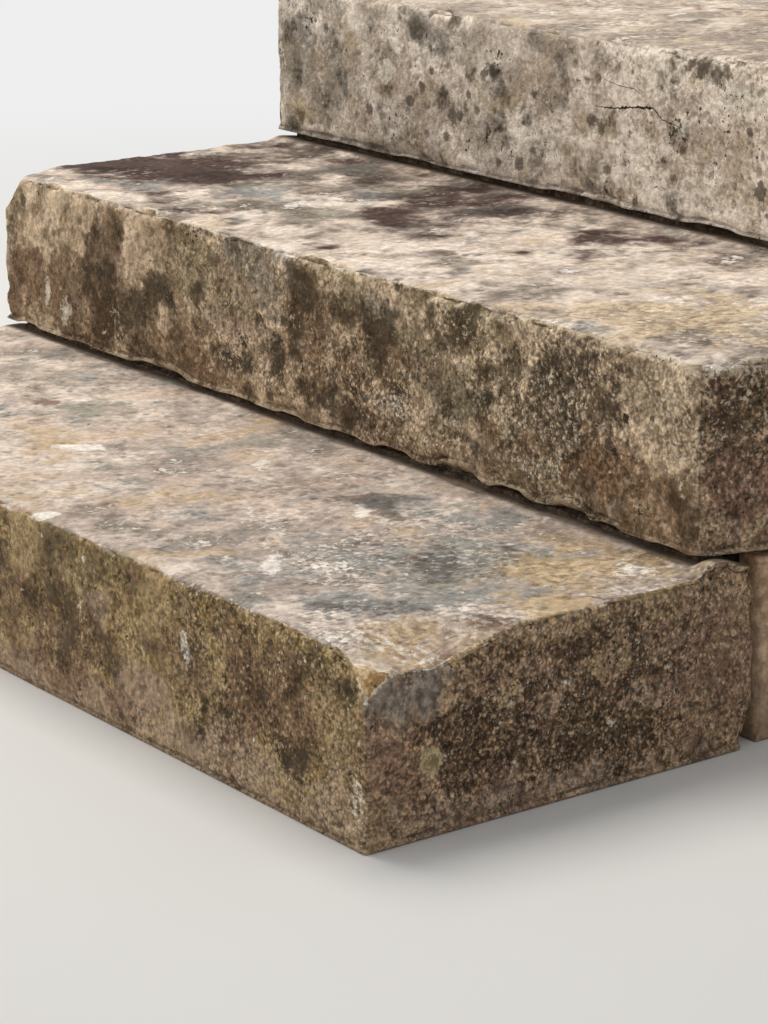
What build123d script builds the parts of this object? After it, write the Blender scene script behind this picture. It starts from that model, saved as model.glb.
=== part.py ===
from build123d import *
import os

# Outdoor stone steps: three solid blocks of old limestone, worn and chipped. Each block sits with
# its front on the back of the block below, and its rear on a rendered masonry core.
# Millimetres. X runs along the treads, Y goes up the flight and Z is up.
# The origin is on the ground, under the middle of the flight.

os.makedirs("parts", exist_ok=True)

# The blocks
step_length = 1220
bottom_depth = 430
step_depth = 418
bottom_height = 170
middle_height = 175
top_height = 178

# How far the front of each upper block bears on the back of the one below
lower_lap = 53
upper_lap = 35

# The upper blocks stop a little short of the bottom one at the right hand end
middle_end_setback = 10
top_end_setback = 4

# Mortar joints, and how far the mortar has weathered back from the risers and the ends
lower_bed = 7
upper_bed = 8
rear_joint = 7
riser_recess = 13
core_recess = 9
end_recess = 26

# The rendered core stops short of the blocks at both ends
core_end_setback = 7
core_arris = 6

# Wear along the arrises
tread_arris = 7
top_tread_arris = 10
foot_arris = 4
end_arris = 3

# The back of a block is dressed roughly: fullest at mid height, drawn in above and below
shoulder_in = 10
shoulder_drop = 25
undercut_in = 14
undercut_rise = 42

# The vertical corner of the middle block at the right is bevelled off
bevel_on_riser = 17
bevel_on_end = 70

# Flakes lost from each arris: how far along it from the right hand end, the riser or the foot,
# then the chord and the bite of each
bottom_tread_flakes = [(175, 46, 5), (268, 70, 6), (560, 90, 6), (915, 60, 6)]
bottom_right_flakes = [(141, 40, 6), (236, 54, 5)]
bottom_left_flakes = [(120, 70, 7), (290, 50, 6)]
bottom_right_corner_flakes = [(60, 44, 4)]
bottom_left_corner_flakes = [(68, 60, 6)]
middle_tread_flakes = [(330, 70, 5), (655, 90, 6), (760, 80, 6)]
middle_foot_flakes = [(200, 105, 5), (352, 92, 6), (868, 110, 6)]
middle_right_flakes = [(160, 80, 6), (300, 60, 5)]
middle_left_flakes = [(210, 90, 7)]
top_tread_flakes = [(240, 90, 7), (470, 110, 8), (735, 70, 7)]
top_foot_flakes = [(300, 90, 6), (610, 70, 5)]
top_right_flakes = [(130, 60, 6), (280, 84, 7)]
top_left_flakes = [(250, 70, 6)]

# Corners knocked off: how far each break reaches from the square corner along X, Y and Z
bottom_worn_corner = (-60, 165, -15)
bottom_chipped_corner = (-26, 54, -40)
bottom_left_corner = (34, 26, -22)
bottom_left_back_corner = (30, -38, -30)
bottom_right_back_foot = (-8, -10, 18)
middle_left_corner = (50, 69, -47)
middle_left_back_corner = (26, -30, -26)
middle_right_corner = (-42, 47, -44)
middle_right_foot = (-32, 32, 17)
middle_right_back_corner = (-30, -44, -28)
top_right_corner = (-44, 32, -30)
top_left_corner = (14, 22, -12)
top_left_back_corner = (36, -24, -28)

# A shallow hollow worn into the tread at that corner: the radius of its curve, how deep it goes
# below the tread, and how far its middle is beyond the end and behind the riser
hollow_radius = 183
hollow_depth = 21
hollow_past_end = 20
hollow_behind_riser = 69

# A lump of the tread that nobody has worn down, at the right hand end under the middle step's
# front: its width and rise, and how far its middle is from the end and behind the riser above
lump_chord = 50
lump_rise = 10
lump_from_end = 8
lump_behind_riser = 8

# Levels and faces that the sizes above give
lower_going = bottom_depth - lower_lap
upper_going = step_depth - upper_lap
middle_foot = bottom_height + lower_bed
middle_head = middle_foot + middle_height
top_foot = middle_head + upper_bed
top_head = top_foot + top_height
flight_depth = lower_going + upper_going + step_depth
bottom_front = -flight_depth / 2
bottom_back = bottom_front + bottom_depth
middle_front = bottom_front + lower_going
middle_back = middle_front + step_depth
top_front = middle_front + upper_going
top_back = top_front + step_depth
lower_core_front = bottom_back + rear_joint
upper_core_front = middle_back + rear_joint
left_end = -step_length / 2
right_end = step_length / 2
middle_right = right_end - middle_end_setback
top_right = right_end - top_end_setback
core_left = left_end + core_end_setback
core_length = step_length - 2 * core_end_setback
mortar_left = left_end + end_recess
mortar_length = step_length - max(middle_end_setback, top_end_setback) - 2 * end_recess

# Ways out of a block at its arrises, where flakes come off
off_tread = Vector(0, -1, 1)
off_foot = Vector(0, -1, -1)
off_right_tread = Vector(1, 0, 1)
off_left_tread = Vector(-1, 0, 1)
off_right_corner = Vector(1, -1, 0)
off_left_corner = Vector(-1, -1, 0)


def block_outline(front, back, foot, height):
    # Across a block: square at the front, rough at the back.
    head = foot + height
    return [
        (front, foot),
        (front, head),
        (back - shoulder_in, head),
        (back, head - shoulder_drop),
        (back, foot + undercut_rise),
        (back - undercut_in, foot),
    ]


def block_section(front, back, foot, height, arris):
    # The outline with its two front arrises worn round.
    with BuildLine() as outline:
        Polyline(*block_outline(front, back, foot, height), close=True)
    make_face(outline.edges())
    front_corners = vertices().group_by(Axis.X)[0].sort_by(Axis.Y)
    fillet(front_corners[-1], arris)
    fillet(front_corners[0], foot_arris)


def soften_ends():
    # The outline of each end is rubbed slightly round.
    ends = faces().filter_by(Axis.X).sort_by(Axis.X)
    fillet(ends[0].edges() + ends[-1].edges(), end_arris)


def break_corner(x, y, z, reach):
    # A corner knocked off flat. The break meets the three arrises at the reach along each.
    corner = Vector(x, y, z)
    on_x = corner + Vector(reach[0], 0, 0)
    on_y = corner + Vector(0, reach[1], 0)
    on_z = corner + Vector(0, 0, reach[2])
    outward = (on_y - on_x).cross(on_z - on_x)
    if outward.dot(corner - on_x) < 0:
        outward = -outward
    split(bisect_by=Plane(origin=on_x, z_dir=outward), keep=Keep.BOTTOM)


def flake(x, y, z, chord, bite, outward):
    # A shell-shaped flake lost from an arris: a chord long, and a bite deep at its middle.
    radius = (chord**2 / 4 + bite**2) / (2 * bite)
    with Locations(Vector(x, y, z) + outward.normalized() * (radius - bite)):
        Sphere(radius, mode=Mode.SUBTRACT)


def flake_front(right, front, level, outward, flakes):
    # Flakes along an arris that runs from end to end.
    for from_right, chord, bite in flakes:
        flake(right - from_right, front, level, chord, bite, outward)


def flake_end(end, front, level, outward, flakes):
    # Flakes along an arris that runs from front to back.
    for from_front, chord, bite in flakes:
        flake(end, front + from_front, level, chord, bite, outward)


def flake_corner(end, front, foot, outward, flakes):
    # Flakes up the vertical arris at a riser's end.
    for from_foot, chord, bite in flakes:
        flake(end, front, foot + from_foot, chord, bite, outward)


def wear_hollow(x, y, level, radius, depth):
    # A round hollow worn into a tread.
    with Locations(Vector(x, y, level + radius - depth)):
        Sphere(radius, mode=Mode.SUBTRACT)


def raise_lump(x, y, level, chord, rise):
    # A low dome left standing on a tread, as wide as the chord.
    radius = (chord**2 / 4 + rise**2) / (2 * rise)
    with Locations(Vector(x, y, level + rise - radius)):
        Sphere(radius)


# Bottom step: the tread is worn down towards its right hand front corner
with BuildPart() as bottom_step:
    with BuildSketch(Plane.YZ.offset(left_end)):
        block_section(bottom_front, bottom_back, 0, bottom_height, tread_arris)
    extrude(amount=step_length)
    soften_ends()
    break_corner(right_end, bottom_front, bottom_height, bottom_worn_corner)
    break_corner(right_end, bottom_front, bottom_height, bottom_chipped_corner)
    break_corner(left_end, bottom_front, bottom_height, bottom_left_corner)
    break_corner(left_end, bottom_back, bottom_height, bottom_left_back_corner)
    break_corner(right_end, bottom_back, 0, bottom_right_back_foot)
    hollow_middle = (right_end + hollow_past_end, bottom_front + hollow_behind_riser)
    wear_hollow(*hollow_middle, bottom_height, hollow_radius, hollow_depth)
    flake_front(right_end, bottom_front, bottom_height, off_tread, bottom_tread_flakes)
    flake_end(right_end, bottom_front, bottom_height, off_right_tread, bottom_right_flakes)
    flake_end(left_end, bottom_front, bottom_height, off_left_tread, bottom_left_flakes)
    flake_corner(left_end, bottom_front, 0, off_left_corner, bottom_left_corner_flakes)
    flake_corner(right_end, bottom_front, 0, off_right_corner, bottom_right_corner_flakes)
    lump_middle = (right_end - lump_from_end, middle_front + lump_behind_riser)
    raise_lump(*lump_middle, bottom_height, lump_chord, lump_rise)
    split(bisect_by=Plane(origin=(right_end, 0, 0), z_dir=(1, 0, 0)), keep=Keep.BOTTOM)

bottom_step.part.label = "bottom_step"
export_step(bottom_step.part, "parts/bottom_step.step")


# Middle step: its lower arris is ragged, and its right hand corner is bevelled
with BuildPart() as middle_step:
    with BuildSketch(Plane.YZ.offset(left_end)):
        block_section(middle_front, middle_back, middle_foot, middle_height, tread_arris)
    extrude(amount=middle_right - left_end)
    soften_ends()
    bevel_out = Vector(bevel_on_end, -bevel_on_riser, 0)
    bevel_edge = (middle_right - bevel_on_riser, middle_front, middle_foot)
    split(bisect_by=Plane(origin=bevel_edge, z_dir=bevel_out), keep=Keep.BOTTOM)
    break_corner(left_end, middle_front, middle_head, middle_left_corner)
    break_corner(left_end, middle_back, middle_head, middle_left_back_corner)
    break_corner(middle_right, middle_front, middle_head, middle_right_corner)
    break_corner(middle_right, middle_front, middle_foot, middle_right_foot)
    break_corner(middle_right, middle_back, middle_head, middle_right_back_corner)
    flake_front(middle_right, middle_front, middle_foot, off_foot, middle_foot_flakes)
    flake_front(middle_right, middle_front, middle_head, off_tread, middle_tread_flakes)
    flake_end(middle_right, middle_front, middle_head, off_right_tread, middle_right_flakes)
    flake_end(left_end, middle_front, middle_head, off_left_tread, middle_left_flakes)

middle_step.part.label = "middle_step"
export_step(middle_step.part, "parts/middle_step.step")


# Top step: the softest arris, with small breaks at its ends
with BuildPart() as top_step:
    with BuildSketch(Plane.YZ.offset(left_end)):
        block_section(top_front, top_back, top_foot, top_height, top_tread_arris)
    extrude(amount=top_right - left_end)
    soften_ends()
    break_corner(top_right, top_front, top_head, top_right_corner)
    break_corner(left_end, top_front, top_head, top_left_corner)
    break_corner(left_end, top_back, top_head, top_left_back_corner)
    flake_front(top_right, top_front, top_head, off_tread, top_tread_flakes)
    flake_front(top_right, top_front, top_foot, off_foot, top_foot_flakes)
    flake_end(top_right, top_front, top_head, off_right_tread, top_right_flakes)
    flake_end(left_end, top_front, top_head, off_left_tread, top_left_flakes)

top_step.part.label = "top_step"
export_step(top_step.part, "parts/top_step.step")


def core_block(front, foot, head):
    # A rendered block from its front face to the back of the flight.
    with BuildSketch(Plane.XY.offset(foot)) as plan:
        with Locations((core_left, front)):
            Rectangle(core_length, top_back - front, align=Align.MIN)
        fillet(vertices().group_by(Axis.Y)[0], core_arris)
    extrude(plan.sketch, amount=head - foot)


# Core behind the bottom step, which carries the middle step and the upper core
with BuildPart() as lower_core:
    core_block(lower_core_front, 0, bottom_height)

lower_core.part.label = "lower_core"
export_step(lower_core.part, "parts/lower_core.step")


# Core behind the middle step, which carries the top step
with BuildPart() as upper_core:
    core_block(upper_core_front, bottom_height, middle_head)

upper_core.part.label = "upper_core"
export_step(upper_core.part, "parts/upper_core.step")


def mortar_bed(front, back, foot, thickness):
    # A bed of mortar, weathered back from the riser and from the ends.
    with BuildSketch(Plane.XY.offset(foot)) as plan:
        with Locations((mortar_left, front)):
            Rectangle(mortar_length, back - front, align=Align.MIN)
    extrude(plan.sketch, amount=thickness)


bottom_shelf_back = bottom_back - shoulder_in
middle_shelf_back = middle_back - shoulder_in
middle_seat_back = middle_back - undercut_in
top_seat_back = top_back - undercut_in

# Mortar under the front of the middle step
with BuildPart() as bed_on_bottom_step:
    mortar_bed(middle_front + riser_recess, bottom_shelf_back, bottom_height, lower_bed)

bed_on_bottom_step.part.label = "bed_on_bottom_step"
export_step(bed_on_bottom_step.part, "parts/bed_on_bottom_step.step")


# Mortar under the rear of the middle step
with BuildPart() as bed_on_lower_core:
    mortar_bed(lower_core_front + core_recess, middle_seat_back, bottom_height, lower_bed)

bed_on_lower_core.part.label = "bed_on_lower_core"
export_step(bed_on_lower_core.part, "parts/bed_on_lower_core.step")


# Mortar under the front of the top step
with BuildPart() as bed_on_middle_step:
    mortar_bed(top_front + riser_recess, middle_shelf_back, middle_head, upper_bed)

bed_on_middle_step.part.label = "bed_on_middle_step"
export_step(bed_on_middle_step.part, "parts/bed_on_middle_step.step")


# Mortar under the rear of the top step
with BuildPart() as bed_on_upper_core:
    mortar_bed(upper_core_front + core_recess, top_seat_back, middle_head, upper_bed)

bed_on_upper_core.part.label = "bed_on_upper_core"
export_step(bed_on_upper_core.part, "parts/bed_on_upper_core.step")


def mortar_fill(block_front, block_back, block_foot, block_height, seat, core_front):
    # Mortar between the rough back of a block and the core behind it.
    block_head = block_foot + block_height
    with BuildSketch(Plane.YZ.offset(mortar_left)) as section:
        with Locations((block_back - undercut_in, seat)):
            Rectangle(core_front - block_back + undercut_in, block_head - seat, align=Align.MIN)
        with BuildLine() as outline:
            Polyline(*block_outline(block_front, block_back, block_foot, block_height), close=True)
        make_face(outline.edges(), mode=Mode.SUBTRACT)
    extrude(section.sketch, amount=mortar_length)


# Upright joint between the bottom step and the lower core
with BuildPart() as joint_behind_bottom_step:
    mortar_fill(bottom_front, bottom_back, 0, bottom_height, 0, lower_core_front)

joint_behind_bottom_step.part.label = "joint_behind_bottom_step"
export_step(joint_behind_bottom_step.part, "parts/joint_behind_bottom_step.step")


# Upright joint between the middle step and the upper core
with BuildPart() as joint_behind_middle_step:
    mortar_fill(middle_front, middle_back, middle_foot, middle_height, bottom_height, upper_core_front)

joint_behind_middle_step.part.label = "joint_behind_middle_step"
export_step(joint_behind_middle_step.part, "parts/joint_behind_middle_step.step")
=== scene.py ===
import math
import bpy
import bmesh
import numpy as np
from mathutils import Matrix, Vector
from mathutils import noise as spaceNoise


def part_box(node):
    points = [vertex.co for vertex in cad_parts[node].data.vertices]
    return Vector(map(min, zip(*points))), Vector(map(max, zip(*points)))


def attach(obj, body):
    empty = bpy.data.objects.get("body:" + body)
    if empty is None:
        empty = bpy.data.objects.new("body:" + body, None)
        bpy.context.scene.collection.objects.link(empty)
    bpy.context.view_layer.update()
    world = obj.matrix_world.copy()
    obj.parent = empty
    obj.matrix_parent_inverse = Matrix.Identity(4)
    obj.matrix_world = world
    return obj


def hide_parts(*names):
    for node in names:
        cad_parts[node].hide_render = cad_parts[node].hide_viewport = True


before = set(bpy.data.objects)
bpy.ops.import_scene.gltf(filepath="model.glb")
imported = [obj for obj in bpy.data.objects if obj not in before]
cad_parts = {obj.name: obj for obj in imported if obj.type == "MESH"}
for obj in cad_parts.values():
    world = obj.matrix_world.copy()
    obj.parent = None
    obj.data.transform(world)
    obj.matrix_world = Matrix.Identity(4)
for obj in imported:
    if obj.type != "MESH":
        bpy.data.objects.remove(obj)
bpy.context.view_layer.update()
print("frame loaded:", len(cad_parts), "pieces")

bottomLow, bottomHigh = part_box("bottom_step")
middleLow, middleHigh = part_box("middle_step")
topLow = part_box("top_step")[0]


# Small helpers for node trees

def connect(tree, node, values):
    for name, value in (values or {}).items():
        if isinstance(value, bpy.types.NodeSocket):
            tree.links.new(value, node.inputs[name])
        else:
            node.inputs[name].default_value = value


def addNode(tree, kind, values=None, **settings):
    made = tree.nodes.new(kind)
    for name, value in settings.items():
        setattr(made, name, value)
    connect(tree, made, values)
    return made


def maths(tree, operation, *values):
    return addNode(tree, "ShaderNodeMath", dict(enumerate(values)), operation=operation).outputs[0]


def times(tree, first, second):
    return maths(tree, "MULTIPLY", first, second)


def weighted(tree, *pairs):
    # the sum of each value times its weight
    total = 0.0
    for value, weight in pairs:
        total = maths(tree, "MULTIPLY_ADD", value, weight, total)
    return total


def vectorMaths(tree, operation, *values):
    made = addNode(tree, "ShaderNodeVectorMath", dict(enumerate(values)), operation=operation)
    return made.outputs["Value"] if operation == "DOT_PRODUCT" else made.outputs[0]


def scaled(tree, vector, factor):
    made = addNode(tree, "ShaderNodeVectorMath", {0: vector, "Scale": factor}, operation="SCALE")
    return made.outputs[0]


def splitUp(tree, vector):
    return addNode(tree, "ShaderNodeSeparateXYZ", {0: vector}).outputs


def seedShift(tree, seed):
    # moves a piece's patterns, so that no two pieces weather alike
    return addNode(tree, "ShaderNodeCombineXYZ", {0: seed, 1: seed}).outputs[0]


def mapRange(tree, value, low, high, fromValue=0.0, toValue=1.0, kind="SMOOTHSTEP", clamp=True):
    made = addNode(tree, "ShaderNodeMapRange", {0: value, 1: low, 2: high, 3: fromValue, 4: toValue},
                   interpolation_type=kind, clamp=clamp)
    return made.outputs[0]


def addNoise(tree, vector, scale, detail, roughness):
    return addNode(tree, "ShaderNodeTexNoise", {"Vector": vector, "Scale": scale, "Detail": detail,
                                                "Roughness": roughness}).outputs


def mixColour(tree, factor, first, second, blend="MIX"):
    made = addNode(tree, "ShaderNodeMix", {0: factor, 6: first, 7: second},
                   data_type="RGBA", blend_type=blend, clamp_factor=True)
    return made.outputs[2]


def mixValue(tree, factor, first, second):
    return addNode(tree, "ShaderNodeMix", {0: factor, 2: first, 3: second}).outputs[0]


def ramp(tree, factor, stops):
    made = addNode(tree, "ShaderNodeValToRGB", {0: factor})
    elements = made.color_ramp.elements
    while len(elements) < len(stops):
        elements.new(0.5)
    for element, (place, colour) in zip(elements, stops):
        element.position = place
        element.color = (*colour, 1.0)
    return made.outputs[0]


def opaque(colour):
    return (*colour, 1.0)


def newTree(name, kind, inputs, outputs):
    # an input is given by its usual value, or by the kind of its socket where it has none
    tree = bpy.data.node_groups.new(name, kind)
    for label, value in inputs.items():
        if isinstance(value, str):
            tree.interface.new_socket(label, in_out="INPUT", socket_type=value)
        else:
            socketKind = {1: decimal, 3: vector, 4: colourSocket}[np.size(value)]
            tree.interface.new_socket(label, in_out="INPUT", socket_type=socketKind).default_value = value
    for label, socketKind in outputs.items():
        tree.interface.new_socket(label, in_out="OUTPUT", socket_type=socketKind)
    return tree, tree.nodes.new("NodeGroupInput").outputs, tree.nodes.new("NodeGroupOutput").inputs


def useGroup(tree, group, values=None):
    made = tree.nodes.new("ShaderNodeGroup")
    made.node_tree = group
    connect(tree, made, values)
    return made.outputs


decimal = "NodeSocketFloat"
vector = "NodeSocketVector"
geometry = "NodeSocketGeometry"
colourSocket = "NodeSocketColor"

# from where to where a field fades in
fades = {"arris": (0.0004, 0.0026), "level": (0.55, 0.9), "aboveBed": (-0.75, -0.35), "seat": (-0.02, 0.004),
         "swell": (0.36, 0.64), "cluster": (0.4, 0.6), "pit": (0.08, 0.42, 1.0, 0.0), "chip": (0.47, 0.66),
         "tread": (0.50, 0.80), "end": (0.45, 0.75), "crust": (0.22, 0.90, 0.12, 1.0)}
farAway = 9.0       # metres, beyond all the pieces


# Geometry Nodes: weather a block. Every change goes inwards, so that no stone grows.

def makeDressTree():
    tree, given, result = newTree("weatherBlock", "GeometryNodeTree", {
        "Geometry": geometry, "Material": "NodeSocketMaterial",
        "Swell": 0.003, "Swell Scale": 3.0, "Pick": 0.001, "Pick Scale": 40.0,
        "Pit Depth": 0.002, "Pit Scale": 45.0, "Pit Cover": 0.3, "Chip": 0.004, "Chip Scale": 22.0,
        "Round": 0.6, "Tread Roughness": 0.4, "End Roughness": 1.4, "Seat Line": farAway, "Seed": 1.0,
    }, {"Geometry": geometry})
    place = addNode(tree, "GeometryNodeInputPosition").outputs[0]
    normal = addNode(tree, "GeometryNodeInputNormal").outputs[0]
    turned = splitUp(tree, normal)
    seeded = vectorMaths(tree, "ADD", place, seedShift(tree, given["Seed"]))

    def blurred(value, iterations):
        return addNode(tree, "GeometryNodeBlurAttribute", {0: value, "Iterations": iterations},
                       data_type="FLOAT_VECTOR").outputs[0]

    def standingOut(iterations):
        # how far a point stands out from its smoothed surroundings, in metres
        lag = vectorMaths(tree, "SUBTRACT", place, blurred(place, iterations))
        return vectorMaths(tree, "DOT_PRODUCT", lag, normal)

    broadEdge = standingOut(14)
    arris = mapRange(tree, broadEdge, *fades["arris"])
    rounding = times(tree, maths(tree, "MAXIMUM", broadEdge, 0.0), given["Round"])
    upward = mapRange(tree, turned[2], *fades["level"])
    sideways = mapRange(tree, maths(tree, "ABSOLUTE", turned[0]), *fades["level"])
    free = mapRange(tree, turned[2], *fades["aboveBed"])
    inward = splitUp(tree, place)[1]
    seated = mapRange(tree, maths(tree, "SUBTRACT", inward, given["Seat Line"]), *fades["seat"])
    hidden = times(tree, seated, upward)
    free = times(tree, free, maths(tree, "SUBTRACT", 1.0, hidden))

    broad = addNoise(tree, seeded, given["Swell Scale"], 2.0, 0.5)[0]
    wave = addNoise(tree, seeded, times(tree, given["Swell Scale"], 4.5), 3.0, 0.5)[0]
    swell = mapRange(tree, weighted(tree, (broad, 0.6), (wave, 0.4)), *fades["swell"])
    swell = times(tree, swell, given["Swell"])

    picked = addNoise(tree, seeded, given["Pick Scale"], 5.0, 0.62)[0]
    picked = times(tree, mapRange(tree, picked, *fades["swell"]), given["Pick"])

    cells = addNode(tree, "ShaderNodeTexVoronoi", {"Vector": seeded, "Scale": given["Pit Scale"]}).outputs
    cluster = mapRange(tree, addNoise(tree, seeded, 9.0, 3.0, 0.5)[0], *fades["cluster"])
    chance = times(tree, given["Pit Cover"], cluster)
    chosen = maths(tree, "LESS_THAN", splitUp(tree, cells["Color"])[0], chance)
    pit = times(tree, mapRange(tree, cells["Distance"], *fades["pit"]), chosen)
    pit = times(tree, pit, given["Pit Depth"])

    rough = mixValue(tree, sideways, 1.0, given["End Roughness"])
    rough = mixValue(tree, upward, rough, given["Tread Roughness"])
    texture = times(tree, maths(tree, "ADD", picked, pit), rough)
    bitten = mapRange(tree, addNoise(tree, seeded, given["Chip Scale"], 4.0, 0.6)[0], *fades["chip"])
    bitten = times(tree, times(tree, bitten, arris), given["Chip"])
    depth = maths(tree, "ADD", maths(tree, "ADD", swell, texture), maths(tree, "ADD", bitten, rounding))
    depth = times(tree, depth, free)
    moved = addNode(tree, "GeometryNodeSetPosition", {
        "Geometry": given["Geometry"],
        "Offset": scaled(tree, normal, times(tree, depth, -1.0)),
    }).outputs[0]

    # fields that the painting and the materials read
    cloud = addNoise(tree, vectorMaths(tree, "ADD", seeded, (5.0, 0.0, 2.0)), 6.5, 3.0, 0.55)["Color"]
    drift = addNoise(tree, seeded, 21.0, 4.0, 0.6)["Color"]
    fields = (("facing", "FLOAT_VECTOR", blurred(normal, 3)), ("arris", "FLOAT", arris),
              ("standing", "FLOAT", times(tree, standingOut(4), 1000.0)),
              ("cloud", "FLOAT_VECTOR", cloud), ("drift", "FLOAT_VECTOR", drift))
    for name, kind, value in fields:
        moved = addNode(tree, "GeometryNodeStoreNamedAttribute",
                        {"Geometry": moved, "Name": name, "Value": value}, data_type=kind).outputs[0]
    smooth = addNode(tree, "GeometryNodeSetShadeSmooth", {"Geometry": moved}).outputs[0]
    real = addNode(tree, "GeometryNodeRealizeInstances", {"Geometry": smooth}).outputs[0]
    done = addNode(tree, "GeometryNodeSetMaterial", {"Geometry": real, "Material": given["Material"]})
    tree.links.new(done.outputs[0], result["Geometry"])
    return tree


dressTree = makeDressTree()
dressSockets = {item.name: item.identifier for item in dressTree.interface.items_tree
                if item.in_out == "INPUT"}
print("weathering tree built")


def cleanCopy(nodeName):
    # the node's loose triangles, merged and facing outwards
    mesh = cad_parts[nodeName].data.copy()
    work = bmesh.new()
    work.from_mesh(mesh)
    bmesh.ops.remove_doubles(work, verts=work.verts, dist=0.00002)
    bmesh.ops.recalc_face_normals(work, faces=work.faces)
    work.to_mesh(mesh)
    work.free()
    mesh.materials.clear()
    return mesh


def dress(nodeName, pieceName, settings, material):
    source = bpy.data.objects.new(pieceName + "Source", cleanCopy(nodeName))
    bpy.context.scene.collection.objects.link(source)
    remesh = source.modifiers.new("grid", "REMESH")
    remesh.mode = "VOXEL"
    remesh.voxel_size = settings["grid"]
    shaping = source.modifiers.new("weather", "NODES")
    shaping.node_group = dressTree
    for label, value in settings["relief"].items():
        shaping[dressSockets[label]] = value
    shaping[dressSockets["Material"]] = material
    bpy.context.view_layer.update()
    mesh = bpy.data.meshes.new_from_object(source.evaluated_get(bpy.context.evaluated_depsgraph_get()))
    bpy.data.objects.remove(source)
    mesh.name = pieceName
    return mesh


def flattenFoot(mesh, level):
    # the bed of a block is flat and unseen, so it becomes one face
    work = bmesh.new()
    work.from_mesh(mesh)
    under = [f for f in work.faces if f.normal.z < -0.97 and abs(f.calc_center_median().z - level) < 0.0012]
    bmesh.ops.dissolve_faces(work, faces=under, use_verts=False)
    for face in work.faces:
        if len(face.verts) > 4:
            face.smooth = False
    work.to_mesh(mesh)
    work.free()


# How much of each stain covers a point. A cover, how far the clouds change it and the strength of a patch
# are in hundredths. A patch is its middle along and up its face, its half width and its half height, in
# millimetres, and how strongly it adds to the cover there. Of two patches the stronger one counts.

faceAxes = {"front": (0, 2, 1, -1.0), "back": (0, 2, 1, 1.0), "tread": (0, 1, 2, 1.0),
            "right": (1, 2, 0, 1.0), "left": (1, 2, 0, -1.0)}
treadAngle = math.radians(53.4)     # the patches on a tread lie square to the camera
emphasis = 1.35
wander = 3.4        # how far the edge of a patch wanders, in half widths

# how the large clouds thicken or thin each stain; covers and cloudiness are given in this order
stainClouds = {"soot": (1.0, 0.0, 0.0), "rust": (0.0, 1.0, 0.0), "ochre": (-0.6, 0.0, 0.7),
               "lime": (-0.2, -0.4, -0.5), "slate": (0.2, 0.7, -0.4), "rose": (-0.5, 0.6, 0.0),
               "moss": (0.4, -0.6, 0.2), "pits": (0.0, 0.3, 0.5), "tone": (0.0, 0.0, 1.0),
               "crust": (0.6, 0.3, 0.0)}
underRust = ("ochre", "lime", "slate", "rose", "moss")      # a strong patch of rust hides these


def readVectors(mesh, name):
    values = np.empty(len(mesh.vertices) * 3, np.float32)
    if name == "position":
        mesh.vertices.foreach_get("co", values)
    else:
        mesh.attributes[name].data.foreach_get("vector", values)
    return values.reshape(-1, 3)


def writeValues(mesh, name, values):
    layer = mesh.attributes.new(name, "FLOAT", "POINT")
    layer.data.foreach_set("value", np.asarray(values, np.float32))


def smoothCurve(value):
    value = np.clip(value, 0.0, 1.0)
    return value * value * (3.0 - 2.0 * value)


def paintSeamShadeAndDirt(mesh, line):
    # painted shadow, with some dirt, on a tread in the joint under the riser above, whose face is at the line
    place = readVectors(mesh, "position")
    facing = readVectors(mesh, "facing")
    drift = readVectors(mesh, "drift") - 0.5
    inside = (place[:, 1] - line + 0.0035 + drift[:, 0] * 0.02) / 0.0045
    writeValues(mesh, "seamShadeAndDirt", smoothCurve(inside) * (facing[:, 2] > 0.5))


def patchAmount(place, drift, face, share, patch):
    across, up, halfWide, halfTall = (value / 1000.0 for value in patch[:4])
    first, second = faceAxes[face][:2]
    offWide = place[:, first] - across
    offTall = place[:, second] - up
    if face == "tread":
        turnedWide = offWide * math.cos(treadAngle) + offTall * math.sin(treadAngle)
        offTall = offTall * math.cos(treadAngle) - offWide * math.sin(treadAngle)
        offWide = turnedWide
    reach = np.hypot(offWide / halfWide + drift[:, first] * wander,
                     offTall / halfTall + drift[:, second] * wander)
    return smoothCurve((1.75 - reach) / 1.5) * share * (patch[4] / 100.0)


def paintCover(mesh, settings, patches):
    place = readVectors(mesh, "position")
    facing = readVectors(mesh, "facing")
    cloud = np.clip((readVectors(mesh, "cloud") - 0.5) / 0.16, -1.2, 1.2)
    drift = readVectors(mesh, "drift") - 0.5
    shares = {}
    for face, (first, second, outward, sign) in faceAxes.items():
        shares[face] = np.clip((facing[:, outward] * sign - 0.25) / 0.4, 0.0, 1.0)
    whole = np.maximum(sum(shares.values()), 0.2)
    buried = np.zeros(len(place))
    for index, (kind, mixing) in enumerate(stainClouds.items()):
        amount = np.zeros(len(place))
        painted = np.zeros(len(place))
        for face, share in shares.items():
            amount += share / whole * (settings["cover"][face][index] / 100.0)
            for patch in patches.get((kind, face), []):
                added = patchAmount(place, drift, face, share, patch)
                painted = np.where(np.abs(added) > np.abs(painted), added, painted)
        amount += cloud @ np.array(mixing) * (settings["cloudiness"][index] / 100.0)
        painted *= emphasis
        if kind == "rust":
            buried = np.clip(painted - 0.4, 0.0, 1.0) * 1.3
        elif kind in underRust:
            amount -= buried
        writeValues(mesh, kind, amount + painted)


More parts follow.
